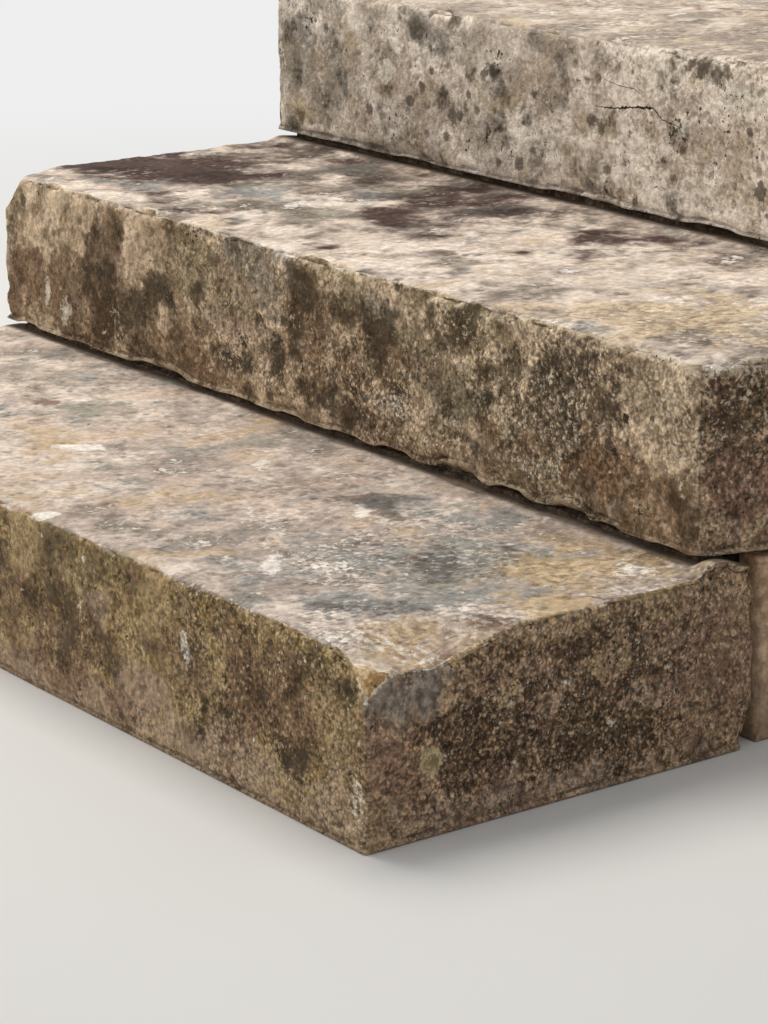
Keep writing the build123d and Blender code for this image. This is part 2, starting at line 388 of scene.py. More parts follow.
def paintBreaks(mesh, corner, breaks):
    # A plane or a ball has cut the corner. A point belongs to the break where that lies nearer than
    # the three faces that met there: the stone is fresher, with a pale rim along the break's edge.
    place = readVectors(mesh, "position")
    facing = readVectors(mesh, "facing")
    offset = place - np.array(corner)
    depths = [offset[:, axis] * sign for axis, sign in ((0, -1.0), (1, 1.0), (2, -1.0))]
    for kind, shape, reach, freshness in breaks:
        if kind == "plane":
            slopes = 1.0 / np.array(shape)
            depths.append((offset @ slopes - 1.0) / np.linalg.norm(slopes))
        else:
            centre, radius = shape
            depths.append(np.linalg.norm(place - np.array(centre), axis=1) - radius)
    fresh = np.zeros(len(place))
    rim = np.zeros(len(place))
    for (kind, shape, reach, freshness), below in zip(breaks, depths[3:]):
        others = np.min([depth for depth in depths if depth is not below], axis=0)
        margin = others - below
        near = smoothCurve((reach - np.linalg.norm(offset, axis=1)) / 0.006)
        edge = 1.0 if kind == "plane" else np.clip(facing[:, 0] / 0.5 - 0.4, 0.0, 1.0) * 0.8
        fresh = np.maximum(fresh, smoothCurve(0.5 + margin / 0.002) * near * freshness)
        rim = np.maximum(rim, np.exp(-(margin / 0.0018) ** 2) * near * edge)
    writeValues(mesh, "fresh", fresh)
    writeValues(mesh, "rim", rim)


def scatterPatches(patches, low, high, hidden):
    # the faces that can't be seen from the right hand corner weather in the same way
    dice = np.random.default_rng(hidden["seed"])
    for face in hidden["faces"]:
        first, second = faceAxes[face][:2]
        for kind, number in hidden["counts"].items():
            for _ in range(number):
                across = dice.uniform(low[first], high[first])
                up = dice.uniform(low[second], high[second])
                wide = dice.uniform(0.025, 0.09)
                tall = wide * dice.uniform(0.4, 0.9)
                strength = dice.uniform(0.3, 0.7)
                patch = [value * 1000.0 for value in (across, up, wide, tall)] + [strength * 100.0]
                patches.setdefault((kind, face), []).append(patch)
    return patches


def paintDistance(mesh, name, spots):
    # distance from the nearest spot or rosette, in its own radii
    place = readVectors(mesh, "position")
    nearest = np.full(len(place), 5.0)
    for centre, radius in spots:
        away = np.linalg.norm(place - np.array(centre), axis=1) / radius
        nearest = np.minimum(nearest, away)
    writeValues(mesh, name, nearest)


def frontSpots(front, spots):
    # dark lichen spots on a riser: along it, up it and the radius of each, in millimetres
    return [((x / 1000.0, front, z / 1000.0), radius / 1000.0) for x, z, radius in spots]


def strewSpots(low, high, number, seed):
    # smaller spots of the same lichen on all sides
    dice = np.random.default_rng(seed)
    spots = []
    for _ in range(number):
        first, second, outward, sign = faceAxes[("front", "back", "right", "left")[dice.integers(4)]]
        centre = [0.0, 0.0, 0.0]
        centre[first] = dice.uniform(low[first], high[first])
        centre[second] = dice.uniform(low[second], high[second])
        centre[outward] = high[outward] if sign > 0 else low[outward]
        spots.append((tuple(centre), dice.uniform(0.0016, 0.0048)))
    return spots


def paintCrack(mesh, name, path, halfWidth):
    # height above a hairline crack, in its own half widths, far away beyond its ends
    place = readVectors(mesh, "position")
    along, level = zip(*path)
    share = (place[:, 0] - along[0]) / (along[-1] - along[0])
    width = halfWidth * np.clip(4.0 * share * (1.0 - share) + 0.15, 0.05, 1.0)
    offset = (place[:, 2] - np.interp(place[:, 0], along, level)) / width
    outside = (share < 0.0) | (share > 1.0) | (place[:, 1] > topLow.y + 0.03)
    writeValues(mesh, name, np.where(outside, 50.0, offset))


# Shader groups that the stones, the mortar and the render share

def makeGrainGroup():
    # three coarse and three fine fields, each spread from about 0 to 1
    outputs = {label + " " + letter: decimal for label in ("Coarse", "Fine") for letter in "ABC"}
    tree, given, result = newTree("stoneGrain", "ShaderNodeTree", {
        "Vector": vector, "Seed": 0.0, "Stretch": (1.0, 1.0, 1.0), "Coarse Scale": 24.0, "Fine Scale": 170.0,
    }, outputs)
    shift = seedShift(tree, given["Seed"])
    moved = vectorMaths(tree, "MULTIPLY_ADD", given["Vector"], given["Stretch"], shift)
    for label, detail, roughness, half in (("Coarse", 5.0, 0.60, 0.12), ("Fine", 2.0, 0.6, 0.15)):
        field = addNoise(tree, moved, given[label + " Scale"], detail, roughness)["Color"]
        for letter, part in zip("ABC", splitUp(tree, field)):
            spread = mapRange(tree, part, 0.5 - half, 0.5 + half, kind="LINEAR", clamp=False)
            tree.links.new(spread, result[label + " " + letter])
    return tree


def makeCoverGroup():
    # turns a soft cover into a patch whose edge breaks up into grains
    tree, given, result = newTree("brokenCover", "ShaderNodeTree", {
        "Cover": 0.0, "Coarse": 0.5, "Fine": 0.5, "Graininess": 0.5, "Soft": 0.08, "Strength": 1.0,
    }, {"Mask": decimal})
    threshold = mixValue(tree, given["Graininess"], given["Coarse"], given["Fine"])
    above = maths(tree, "SUBTRACT", given["Cover"], threshold)
    mask = mapRange(tree, above, times(tree, given["Soft"], -1.0), given["Soft"])
    tree.links.new(times(tree, mask, given["Strength"]), result["Mask"])
    return tree


def makeFaceGroup():
    # picks a colour by the way a face looks: riser, end or tread
    tree, given, result = newTree("faceColour", "ShaderNodeTree", {
        "Upward": 0.0, "Sideways": 0.0, "Riser": colourSocket, "End": colourSocket, "Tread": colourSocket,
    }, {"Colour": colourSocket})
    standing = mixColour(tree, given["Sideways"], given["Riser"], given["End"])
    tree.links.new(mixColour(tree, given["Upward"], standing, given["Tread"]), result["Colour"])
    return tree


def makeReliefGroup():
    # the relief that is too fine for the mesh: soft lumps, or round granules with crevices between. Its
    # cavity shading is painted shade in the crevices and a painted highlight on the tops
    tree, given, result = newTree("fineRelief", "ShaderNodeTree", {
        "Vector": vector, "Stretch": (1.0, 1.0, 1.0), "Scale": 85.0, "Granular": 0.0,
    }, {"Height": decimal, "CavityShading": decimal, "Granule": decimal})
    moved = vectorMaths(tree, "MULTIPLY", given["Vector"], given["Stretch"])
    lumps = addNoise(tree, moved, given["Scale"], 4.0, 0.66)
    soft = mapRange(tree, lumps[0], 0.37, 0.63, kind="LINEAR", clamp=False)
    bent = scaled(tree, vectorMaths(tree, "SUBTRACT", lumps[0], (0.5, 0.5, 0.5)), 0.006)
    cells = addNode(tree, "ShaderNodeTexVoronoi", {"Vector": vectorMaths(tree, "ADD", moved, bent),
                                                   "Scale": times(tree, given["Scale"], 2.0)}).outputs
    dome = mapRange(tree, cells["Distance"], 0.15, 0.80, 1.0, 0.0)
    rounded = weighted(tree, (soft, 0.45), (dome, 0.55))
    height = mixValue(tree, given["Granular"], soft, rounded)
    tree.links.new(height, result["Height"])
    # cavity shading: painted shade low in the relief, painted highlight high on it
    tree.links.new(mapRange(tree, height, 0.0, 1.0), result["CavityShading"])
    tree.links.new(splitUp(tree, cells["Color"])[0], result["Granule"])
    return tree


grainGroup = makeGrainGroup()
coverGroup = makeCoverGroup()
faceGroup = makeFaceGroup()
reliefGroup = makeReliefGroup()
print("shader groups built")


def newMaterial(name):
    material = bpy.data.materials.new(name)
    material.use_nodes = True
    tree = material.node_tree
    tree.nodes.clear()
    shader = tree.nodes.new("ShaderNodeBsdfPrincipled")
    output = tree.nodes.new("ShaderNodeOutputMaterial")
    tree.links.new(shader.outputs[0], output.inputs[0])
    return material, tree, shader, addNode(tree, "ShaderNodeTexCoord").outputs["Object"]


def finishShader(tree, shader, colour, height, depth, roughness, gloss):
    bump = addNode(tree, "ShaderNodeBump", {"Strength": 1.0, "Distance": depth, "Height": height})
    connect(tree, shader, {"Base Color": colour, "Normal": bump.outputs[0], "Roughness": roughness,
                           "Specular IOR Level": gloss})


def readAttribute(tree, name, output="Fac"):
    made = addNode(tree, "ShaderNodeAttribute", attribute_name=name, attribute_type="GEOMETRY")
    return made.outputs[output]


# the stains, from the one that lies deepest to the one on top, with the coarse and the fine grain of each
stainGrains = {"slate": "AB", "moss": "BA", "rose": "CB", "rust": "BC", "ochre": "CA", "soot": "AA",
               "lime": "BB"}


def makeStoneMaterial(name, settings):
    look = settings["look"]
    material, tree, shader, place = newMaterial(name)
    facing = splitUp(tree, readAttribute(tree, "facing", "Vector"))
    cloud = splitUp(tree, readAttribute(tree, "cloud", "Vector"))
    level = maths(tree, "GREATER_THAN", facing[2], 0.7)
    stretch = addNode(tree, "ShaderNodeMix", {0: level, 4: look["stretch"], 5: look["treadStretch"]},
                      data_type="VECTOR").outputs[1]
    grain = useGroup(tree, grainGroup, {"Vector": place, "Seed": look["seed"], "Stretch": stretch,
                                        "Coarse Scale": look["coarseScale"], "Fine Scale": look["fineScale"]})
    side = maths(tree, "ABSOLUTE", facing[0])
    ragged = times(tree, maths(tree, "SUBTRACT", grain["Coarse C"], 0.5), look["raggedArris"])
    upward = mapRange(tree, maths(tree, "ADD", facing[2], ragged), *fades["tread"])
    sideways = mapRange(tree, maths(tree, "ADD", side, ragged), *fades["end"])

    def byShare(label, up=upward, aside=sideways):
        standing = mixValue(tree, aside, look["riser" + label], look["end" + label])
        return mixValue(tree, up, standing, look["tread" + label])

    def roughened(label, *others):
        # a painted field whose edge the grain breaks up
        return weighted(tree, (readAttribute(tree, label), 1.0), *others)

    crustCover = readAttribute(tree, "crust")
    crustField = weighted(tree, (crustCover, 1.0), (grain["Coarse A"], 0.35))
    crust = mapRange(tree, crustField, *fades["crust"])
    halfCrust = mapRange(tree, crust, 0.0, 1.0, 0.4, 1.0, kind="LINEAR")
    calm = times(tree, byShare("Fine"), halfCrust)
    granular = times(tree, byShare("Granular"), crust)
    # a bump is worked out three times over, so the relief reads no noise but its own
    evenUp = mapRange(tree, facing[2], *fades["tread"])
    evenSide = mapRange(tree, side, *fades["end"])
    evenCrust = mapRange(tree, maths(tree, "ADD", crustCover, 0.175), *fades["crust"])
    evenGranular = times(tree, byShare("Granular", evenUp, evenSide), evenCrust)
    relief = useGroup(tree, reliefGroup, {"Vector": place, "Stretch": stretch, "Scale": look["reliefScale"],
                                          "Granular": evenGranular})
    single = times(tree, maths(tree, "SUBTRACT", relief["Granule"], 0.5), granular)

    def byFace(colours):
        shades = [opaque(shade) if isinstance(shade, tuple) else shade for shade in colours]
        return useGroup(tree, faceGroup, {"Upward": upward, "Sideways": sideways, "Riser": shades[0],
                                          "End": shades[1], "Tread": shades[2]})["Colour"]

    # clean stone, its tone drifting with the clouds
    drifting = mapRange(tree, cloud[2], 0.34, 0.66, -0.14, 0.14, kind="LINEAR")
    tone = mixValue(tree, calm, grain["Coarse B"], grain["Fine B"])
    tone = weighted(tree, (tone, 1.0), (drifting, 1.0), (readAttribute(tree, "tone"), 1.0), (single, 0.9))
    colour = byFace([ramp(tree, tone, look[face]) for face in ("riser", "end", "tread")])

    # stains
    for kind, letters in stainGrains.items():
        style = look["stains"][kind]
        fine = grain["Fine " + letters[1]]
        mask = useGroup(tree, coverGroup, {
            "Cover": readAttribute(tree, kind), "Coarse": grain["Coarse " + letters[0]], "Fine": fine,
            "Graininess": times(tree, calm, style["graininess"]), "Soft": style["soft"],
            "Strength": style["strength"],
        })["Mask"]
        shade = mapRange(tree, fine, 0.0, 1.0, 1.0 - style["mottle"], 1.0 + style["mottle"], "LINEAR")
        stained = mixColour(tree, 1.0, byFace(style["colours"]), shade, "MULTIPLY")
        colour = mixColour(tree, mask, colour, stained, style["blend"])

    # single grains, pale and dark, then painted shade in every fine hollow and a painted highlight on each
    # granule's top
    picked = weighted(tree, (relief["Granule"], 0.8), (grain["Coarse C"], 0.2))
    paleGrain = times(tree, mapRange(tree, picked, 0.80, 0.86, 0.0, look["paleGrains"]), granular)
    darkGrain = times(tree, mapRange(tree, picked, 0.20, 0.14, 0.0, look["darkGrains"]), granular)
    # near black, for dark grains, pits and the painted shade in hollows
    darkGrainAndShadeColour = opaque(look["darkGrainAndShadeColour"])
    colour = mixColour(tree, paleGrain, colour, byFace(look["paleColours"]))
    colour = mixColour(tree, darkGrain, colour, darkGrainAndShadeColour)
    # how strongly painted shade and highlight follow the fine relief on this face
    depth = times(tree, byShare("CavityShading"), halfCrust)
    shading = maths(tree, "MULTIPLY_ADD", maths(tree, "SUBTRACT", relief["CavityShading"], 0.5), depth, 1.0)
    colour = mixColour(tree, 1.0, colour, shading, "MULTIPLY")

    # Rubbed arrises are paler, partly wear and partly a painted highlight, and larger hollows are darker with
    # painted shade. Where a flake has come off, the stone is fresh and its broken rim is pale. Pits and
    # lichen spots follow, then cracks, rosettes and the seam's painted shadow and dirt.
    arris = roughened("arris", (grain["Coarse A"], 0.55), (grain["Fine C"], 0.35))
    standing = readAttribute(tree, "standing")
    freshTone = weighted(tree, (grain["Coarse A"], 0.5), (grain["Fine A"], 0.5))
    rim = roughened("rim", (grain["Fine A"], 0.5))
    pits = weighted(tree, (grain["Coarse C"], 0.45), (grain["Fine C"], 0.55),
                    (readAttribute(tree, "pits"), 1.0))
    spots = roughened("spot", (grain["Fine A"], 0.35), (grain["Coarse B"], 0.5))
    layers = [
        # rubbed arrises: partly wear, partly a painted highlight along the edges
        (mapRange(tree, arris, 1.10, 1.70, 0.0, look["rubbed"]), byFace(look["rubbedColours"])),
        # painted shade: larger hollows darkened towards near black
        (mapRange(tree, standing, 0.0, -0.45, 0.0, look["hollow"]), darkGrainAndShadeColour),
        (readAttribute(tree, "fresh"), ramp(tree, freshTone, look["freshColours"])),
        (mapRange(tree, rim, 0.85, 1.25, 0.0, 0.85), opaque(look["rimColour"])),
        (mapRange(tree, pits, 0.96, 1.06, 0.0, 0.9), darkGrainAndShadeColour),
        (mapRange(tree, spots, 1.55, 1.15, 0.0, look["spots"]), opaque(look["spotColour"])),
    ]
    for crackName in settings.get("cracks", {}):
        wobble = times(tree, maths(tree, "SUBTRACT", grain["Fine A"], 0.5), 1.6)
        away = maths(tree, "ABSOLUTE", maths(tree, "ADD", readAttribute(tree, crackName), wobble))
        layers.append((mapRange(tree, away, 1.1, 0.5), opaque(look["crackColour"])))
    if "rosettes" in settings:
        field = roughened("rosette", (grain["Fine A"], 0.35))
        disc = mapRange(tree, field, 1.3, 1.0)
        ring = times(tree, mapRange(tree, field, 0.70, 0.95), disc)
        broken = mapRange(tree, grain["Fine B"], 0.1, 0.6, 0.3, 0.9)
        discColour, ringColour = look["rosetteColours"]
        layers.append((times(tree, disc, 0.6), opaque(discColour)))
        layers.append((times(tree, ring, broken), opaque(ringColour)))
    # the seam: painted shadow, with some dirt, on the tread in front of the joint under the riser above
    layers.append((times(tree, readAttribute(tree, "seamShadeAndDirt"), look["seamShadeAndDirt"]), opaque(look["seamShadeAndDirtColour"])))
    for mask, shade in layers:
        colour = mixColour(tree, mask, colour, shade)

    height = times(tree, relief["Height"], byShare("Bump", evenUp, evenSide))
    roughness = mapRange(tree, grain["Fine A"], 0.1, 0.9, 0.82, 0.96)
    finishShader(tree, shader, colour, height, 0.001, roughness, 0.2)
    return material


def chipFoot(mesh, low, chips):
    # flakes off the lower front arris, each a middle, half width and height in millimetres
    place = readVectors(mesh, "position")
    drift = readVectors(mesh, "drift") - 0.5
    lift = np.zeros(len(place), np.float32)
    for middle, halfWidth, height in chips:
        reach = np.abs(place[:, 0] * 1000.0 - middle) / halfWidth + drift[:, 0] * 0.8
        lift = np.maximum(lift, smoothCurve((1.0 - reach) * 1.8) * height / 1000.0)
    inward = smoothCurve(1.0 - (place[:, 1] - low.y) / 0.020)
    upward = smoothCurve(1.0 - (place[:, 2] - low.z) / 0.026)
    place[:, 2] += lift * inward * upward
    mesh.vertices.foreach_set("co", place.ravel())


def placePiece(mesh, nodeName, pieceName):
    piece = bpy.data.objects.new(pieceName, mesh)
    bpy.context.scene.collection.objects.link(piece)
    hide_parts(nodeName)
    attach(piece, "root")
    print(pieceName, "made:", sum(len(p.vertices) - 2 for p in mesh.polygons), "triangles")


def finishStone(nodeName, pieceName, settings):
    low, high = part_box(nodeName)
    mesh = dress(nodeName, pieceName, settings, makeStoneMaterial(pieceName + "Stone", settings))
    chipFoot(mesh, low, settings["footChips"])
    flattenFoot(mesh, low.z)
    paintBreaks(mesh, settings.get("corner", low), settings.get("breaks", []))
    # painted shadow and dirt on the tread in front of the joint under the riser above
    paintSeamShadeAndDirt(mesh, settings["relief"]["Seat Line"])
    paintCover(mesh, settings, scatterPatches(settings["patches"], low, high, settings["hidden"]))
    paintDistance(mesh, "rosette", settings.get("rosettes", []))
    spots = frontSpots(low.y, settings["spots"]) + strewSpots(low, high, *settings["strewn"])
    paintDistance(mesh, "spot", spots)
    for crackName, (path, halfWidth) in settings.get("cracks", {}).items():
        paintCrack(mesh, crackName, path, halfWidth)
    placePiece(mesh, nodeName, pieceName)


def stain(riser, end, tread, graininess, soft, strength, blend="MIX", mottle=0.16):
    return {"colours": (riser, end, tread), "graininess": graininess, "soft": soft, "strength": strength,
            "blend": blend, "mottle": mottle}


def changedLook(look, changes, stains):
    # another stone's look with some values changed; a stain is new, or only has new colours
    made = {**look, **changes, "stains": dict(look["stains"])}
    for kind, change in stains.items():
        style = change if isinstance(change, dict) else {"colours": change}
        made["stains"][kind] = {**look["stains"][kind], **style}
    return made


# The bottom step

bottomStone = {
    "grid": 0.0036,
    "relief": {
        "Swell": 0.0035, "Swell Scale": 3.2, "Pick": 0.0016, "Pick Scale": 42.0, "Pit Depth": 0.0022,
        "Pit Scale": 60.0, "Pit Cover": 0.3, "Chip": 0.0045, "Chip Scale": 24.0, "Tread Roughness": 0.5,
        "End Roughness": 2.0, "Seat Line": middleLow.y, "Seed": 3.0,
    },
    "cover": {
        "front": (20, 20, 22, -12, 6, 14, 28, -2, 0, 35), "right": (32, 34, 18, -2, 8, 18, 12, 2, 0, 60),
        "left": (30, 26, 20, -6, 4, 14, 20, 0, 0, 45), "back": (30, 26, 20, -6, 4, 14, 20, 0, 0, 45),
        "tread": (-8, -14, -4, -2, 12, 24, 6, -14, 0, 10),
    },
    "cloudiness": (12, 12, 12, 9, 12, 14, 12, 5, 0, 12),
    "patches": {
        ("tone", "front"): [
            (200, 0, 800, 34, 62), (150, 145, 90, 30, -22), (200, 125, 20, 16, 22), (345, 76, 16, 14, 25),
            (390, 100, 14, 12, 20),
        ],
        ("tone", "right"): [
            (-380, 0, 350, 22, 46), (-200, 90, 80, 110, 14), (-560, 60, 45, 80, 36),
            (-330, 160, 110, 16, 28), (-380, 80, 120, 60, -4),
        ],
        ("tone", "tread"): [
            (-300, -420, 280, 220, 22), (530, -250, 120, 60, 10), (300, -575, 350, 18, 15),
            (150, -330, 150, 120, -6), (400, -400, 170, 110, -16), (-150, -440, 110, 90, 12),
            (560, -290, 90, 70, -12), (580, -520, 50, 70, -10),
        ],
        ("ochre", "front"): [
            (60, 138, 32, 34, 70), (140, 99, 30, 28, 20), (200, 8, 500, 22, -45), (262, 48, 36, 24, -35),
            (165, 105, 9, 20, 80), (108, 104, 10, 9, 70), (480, 90, 90, 40, -25), (230, 150, 60, 20, -20),
            (556, 100, 45, 40, 40), (305, 125, 22, 20, 35), (260, 75, 12, 30, 30),
        ],
        ("ochre", "right"): [
            (-325, 115, 22, 15, 70), (-436, 108, 10, 9, 90), (-580, 20, 20, 30, 30), (-230, 60, 30, 20, 20),
            (-280, 155, 90, 14, 30),
        ],
        ("ochre", "tread"): [
            (-130, -430, 110, 60, 35), (530, -265, 100, 70, 62), (590, -380, 45, 60, 55),
            (250, -560, 300, 20, 22), (50, -520, 120, 30, 35), (590, -520, 40, 60, 34),
        ],
        ("moss", "front"): [(130, 150, 90, 22, 40), (215, 150, 50, 22, 35), (330, 80, 70, 60, 20)],
        ("moss", "right"): [(-290, 158, 75, 16, 50)],
        ("moss", "tread"): [
            (-220, -335, 45, 32, 55), (-10, -290, 50, 34, 40), (462, -372, 60, 62, 35),
            (-380, -270, 50, 40, 30),
        ],
        ("rose", "front"): [
            (262, 48, 42, 28, 80), (400, 32, 50, 24, 65), (140, 66, 20, 18, 60), (200, 8, 500, 24, 75),
            (195, 115, 18, 22, 55), (560, 40, 40, 24, 45),
        ],
        ("rose", "right"): [
            (-450, 12, 130, 18, 60), (-398, 87, 16, 9, 75), (-285, 76, 20, 12, 70), (-200, 110, 45, 45, 25),
            (-412, 126, 13, 8, 60), (-270, 120, 20, 14, 60), (-490, 92, 9, 4, 80), (-233, 64, 14, 9, 70),
            (-395, 116, 30, 10, 35), (-560, 85, 30, 20, 25),
        ],
        ("rose", "tread"): [
            (-130, -385, 85, 60, 42), (225, -275, 20, 18, 60), (585, -530, 50, 60, 20),
            (30, -300, 20, 20, 40), (120, -420, 150, 90, 20),
        ],
        ("soot", "front"): [
            (455, 95, 20, 20, 30), (500, 55, 22, 20, 40), (580, 132, 12, 12, 50), (520, 120, 25, 18, 30),
            (100, 90, 80, 30, 12), (435, 148.5, 8, 2.2, 120), (200, 6, 600, 20, -40), (262, 48, 36, 24, -40),
            (195, 115, 16, 20, -35), (60, 138, 30, 30, -30),
        ],
        ("soot", "right"): [
            (-500, 100, 45, 16, 35), (-340, 55, 60, 40, 30), (-415, 110, 30, 22, 30),
            (-360, 140, 40, 18, 30), (-300, 120, 12, 20, 40), (-380, 85, 140, 70, 20),
            (-535, 135, 50, 20, -80), (-200, 80, 70, 80, -22), (-560, 60, 40, 60, -45),
            (-440, 8, 160, 14, -35), (-436, 108, 12, 10, -100), (-325, 115, 22, 15, -80),
            (-398, 87, 16, 9, -90), (-285, 76, 20, 12, -90), (-412, 126, 13, 8, -80),
            (-270, 120, 20, 14, -70), (-233, 64, 14, 9, -70), (-375, 101, 7, 7, -90),
            (-250, 165, 200, 20, -35),
        ],
        ("soot", "tread"): [
            (230, -315, 34, 22, 75), (300, -320, 22, 16, 55), (440, -370, 70, 45, 50),
            (500, -500, 60, 30, 45), (590, -445, 12, 6, 120), (-280, -300, 60, 22, 35),
            (430, -300, 8, 10, 60),
        ],
        ("rust", "front"): [
            (430, 100, 40, 40, 50), (180, 80, 60, 20, 25), (330, 100, 40, 30, 40), (520, 95, 50, 32, 45),
            (150, 30, 50, 16, 35),
        ],
        ("rust", "right"): [(-560, 80, 34, 40, 55), (-210, 100, 60, 50, 35), (-450, 50, 80, 20, 20)],
        ("rust", "tread"): [
            (590, -438, 22, 16, 95), (-262, -360, 15, 14, 70), (600, -330, 20, 30, 45),
            (600, -500, 16, 40, 45), (540, -290, 14, 12, 50), (575, -350, 12, 14, 50),
        ],
        ("lime", "front"): [
            (345, 105, 6, 13, 140), (168, 106, 5, 15, 50), (595, 40, 10, 30, 45), (178, 150, 4, 6, 60),
        ],
        ("lime", "right"): [
            (-430, 45, 3, 3, 120), (-325, 60, 4, 4, 120), (-375, 102, 6, 5, 80), (-505, 67, 2, 2, 140),
            (-485, 108, 5, 2, 90), (-380, 100, 140, 50, 6),
        ],
        ("lime", "tread"): [
            (-95, -425, 22, 10, 100), (-260, -325, 11, 9, 80), (345, -498, 8, 28, 80),
            (385, -462, 22, 16, 45), (268, -345, 7, 24, 50), (78, -325, 8, 30, 40), (95, -455, 9, 34, 38),
            (208, -425, 5, 25, 50), (282, -445, 5, 20, 50), (90, -580, 16, 10, 90), (560, -545, 50, 20, 35),
            (545, -250, 14, 18, 70), (340, -270, 50, 45, 22), (350, -430, 100, 100, 16),
        ],
        ("slate", "right"): [(-545, 134, 42, 18, 80), (-480, 20, 60, 14, 45), (-360, 16, 60, 12, 40)],
        ("slate", "tread"): [
            (455, -365, 80, 75, 95), (500, -470, 80, 55, 65), (340, -270, 55, 45, 55),
            (225, -305, 55, 36, 45), (380, -440, 90, 70, 35), (-10, -290, 50, 30, 50),
            (-220, -330, 50, 34, 40), (-300, -260, 60, 34, 35), (420, -410, 130, 90, 25),
        ],
        ("pits", "front"): [(490, 90, 90, 50, 8)],
        ("pits", "right"): [(-380, 85, 150, 60, 8)],
        ("crust", "front"): [(500, 85, 150, 100, 60)],
        ("crust", "right"): [
            (-380, 90, 140, 70, 22), (-205, 90, 60, 90, -10), (-560, 75, 45, 60, -8),
            (-535, 130, 50, 24, -25), (-380, 12, 200, 16, -10),
        ],
        ("crust", "tread"): [
            (560, -500, 100, 60, 60), (420, -380, 160, 110, 40), (540, -280, 100, 80, 35),
            (200, -400, 150, 120, 15),
        ],
    },
    "hidden": {"faces": ("left", "back"), "seed": 5,
               "counts": {"soot": 5, "rust": 4, "ochre": 4, "moss": 3, "rose": 3, "lime": 2}},
    "rosettes": [((0.606, -0.520, 0.067), 0.0125)],
    "spots": [
        (583, 135, 8), (520, 58, 9), (498, 48, 7), (462, 98, 6), (236, 14, 4),
    ],
    "strewn": (60, 31),
    "corner": (bottomHigh.x, bottomLow.y, middleLow.z - 0.007),
    "breaks": [("plane", (-0.026, 0.054, -0.040), 0.060, 1.0),
               ("ball", ((0.630, -0.520, 0.332), 0.183), 0.170, 0.12)],
    "footChips": [],
    "look": {
        "seed": 2.0, "stretch": (1.0, 1.0, 0.95), "treadStretch": (0.75, 0.6, 1.0),
        "coarseScale": 26.0, "fineScale": 230.0, "reliefScale": 150.0, "raggedArris": 0.25,
        "riserFine": 0.6, "endFine": 0.8, "treadFine": 0.46,
        "riserGranular": 0.8, "endGranular": 0.9, "treadGranular": 0.55,
        "riser": [(0.05, (0.12, 0.076, 0.030)), (0.5, (0.28, 0.182, 0.075)), (0.90, (0.46, 0.328, 0.165))],
        "end": [(0.05, (0.150, 0.090, 0.050)), (0.5, (0.345, 0.215, 0.120)), (0.90, (0.53, 0.360, 0.212))],
        "tread": [(0.00, (0.24, 0.196, 0.165)), (0.5, (0.50, 0.408, 0.345)), (0.90, (0.73, 0.612, 0.512))],
        "stains": {
            "slate": stain((0.24, 0.215, 0.175), (0.28, 0.245, 0.21), (0.262, 0.262, 0.242), 0.9, 0.30, 0.82),
            "moss": stain((0.20, 0.150, 0.070), (0.21, 0.155, 0.085), (0.35, 0.31, 0.235), 0.8, 0.30, 0.65),
            "rose": stain((0.42, 0.300, 0.215), (0.38, 0.250, 0.180), (0.62, 0.480, 0.385), 0.9, 0.30, 0.70),
            "rust": stain((0.24, 0.142, 0.085), (0.27, 0.155, 0.105), (0.17, 0.095, 0.065), 0.5, 0.25, 0.75),
            "ochre": stain((0.45, 0.322, 0.165), (0.42, 0.290, 0.160), (0.53, 0.380, 0.205), 1.1, 0.32, 0.75),
            "soot": stain((0.33, 0.31, 0.27), (0.32, 0.295, 0.27), (0.46, 0.44, 0.42), 0.8, 0.26, 0.95,
                          "MULTIPLY"),
            "lime": stain((0.76, 0.68, 0.55), (0.66, 0.57, 0.45), (0.88, 0.80, 0.71), 1.8, 0.12, 0.85),
        },
        "paleGrains": 0.6, "paleColours": ((0.52, 0.42, 0.27), (0.50, 0.40, 0.28), (0.85, 0.79, 0.71)),
        "darkGrains": 0.7, "darkGrainAndShadeColour": (0.024, 0.016, 0.009),
        # how strongly painted shade and highlight follow the fine relief on risers, ends and treads
        "riserCavityShading": 1.0, "endCavityShading": 1.25, "treadCavityShading": 0.6,
        # pale arrises: partly wear, partly a painted highlight
        "rubbed": 0.35, "rubbedColours": ((0.48, 0.37, 0.235), (0.42, 0.32, 0.22), (0.66, 0.545, 0.42)),
        # how strongly larger hollows are darkened with painted shade
        "hollow": 0.4, "crackColour": (0.02, 0.012, 0.008),
        "rosetteColours": ((0.33, 0.245, 0.125), (0.62, 0.50, 0.27)),
        # the seam's strength and colour: painted shadow, with some dirt, in front of the joint above the
        # tread
        "spots": 0.7, "spotColour": (0.055, 0.042, 0.028), "seamShadeAndDirt": 0.82, "seamShadeAndDirtColour": (0.105, 0.074, 0.048),
        "freshColours": [(0.25, (0.46, 0.27, 0.115)), (0.5, (0.74, 0.50, 0.26)), (0.75, (0.86, 0.66, 0.42))],
        "rimColour": (0.94, 0.86, 0.72),
        "riserBump": 1.1, "endBump": 2.0, "treadBump": 0.9,
    },
}

finishStone("bottom_step", "bottomBlock", bottomStone)


# The middle step

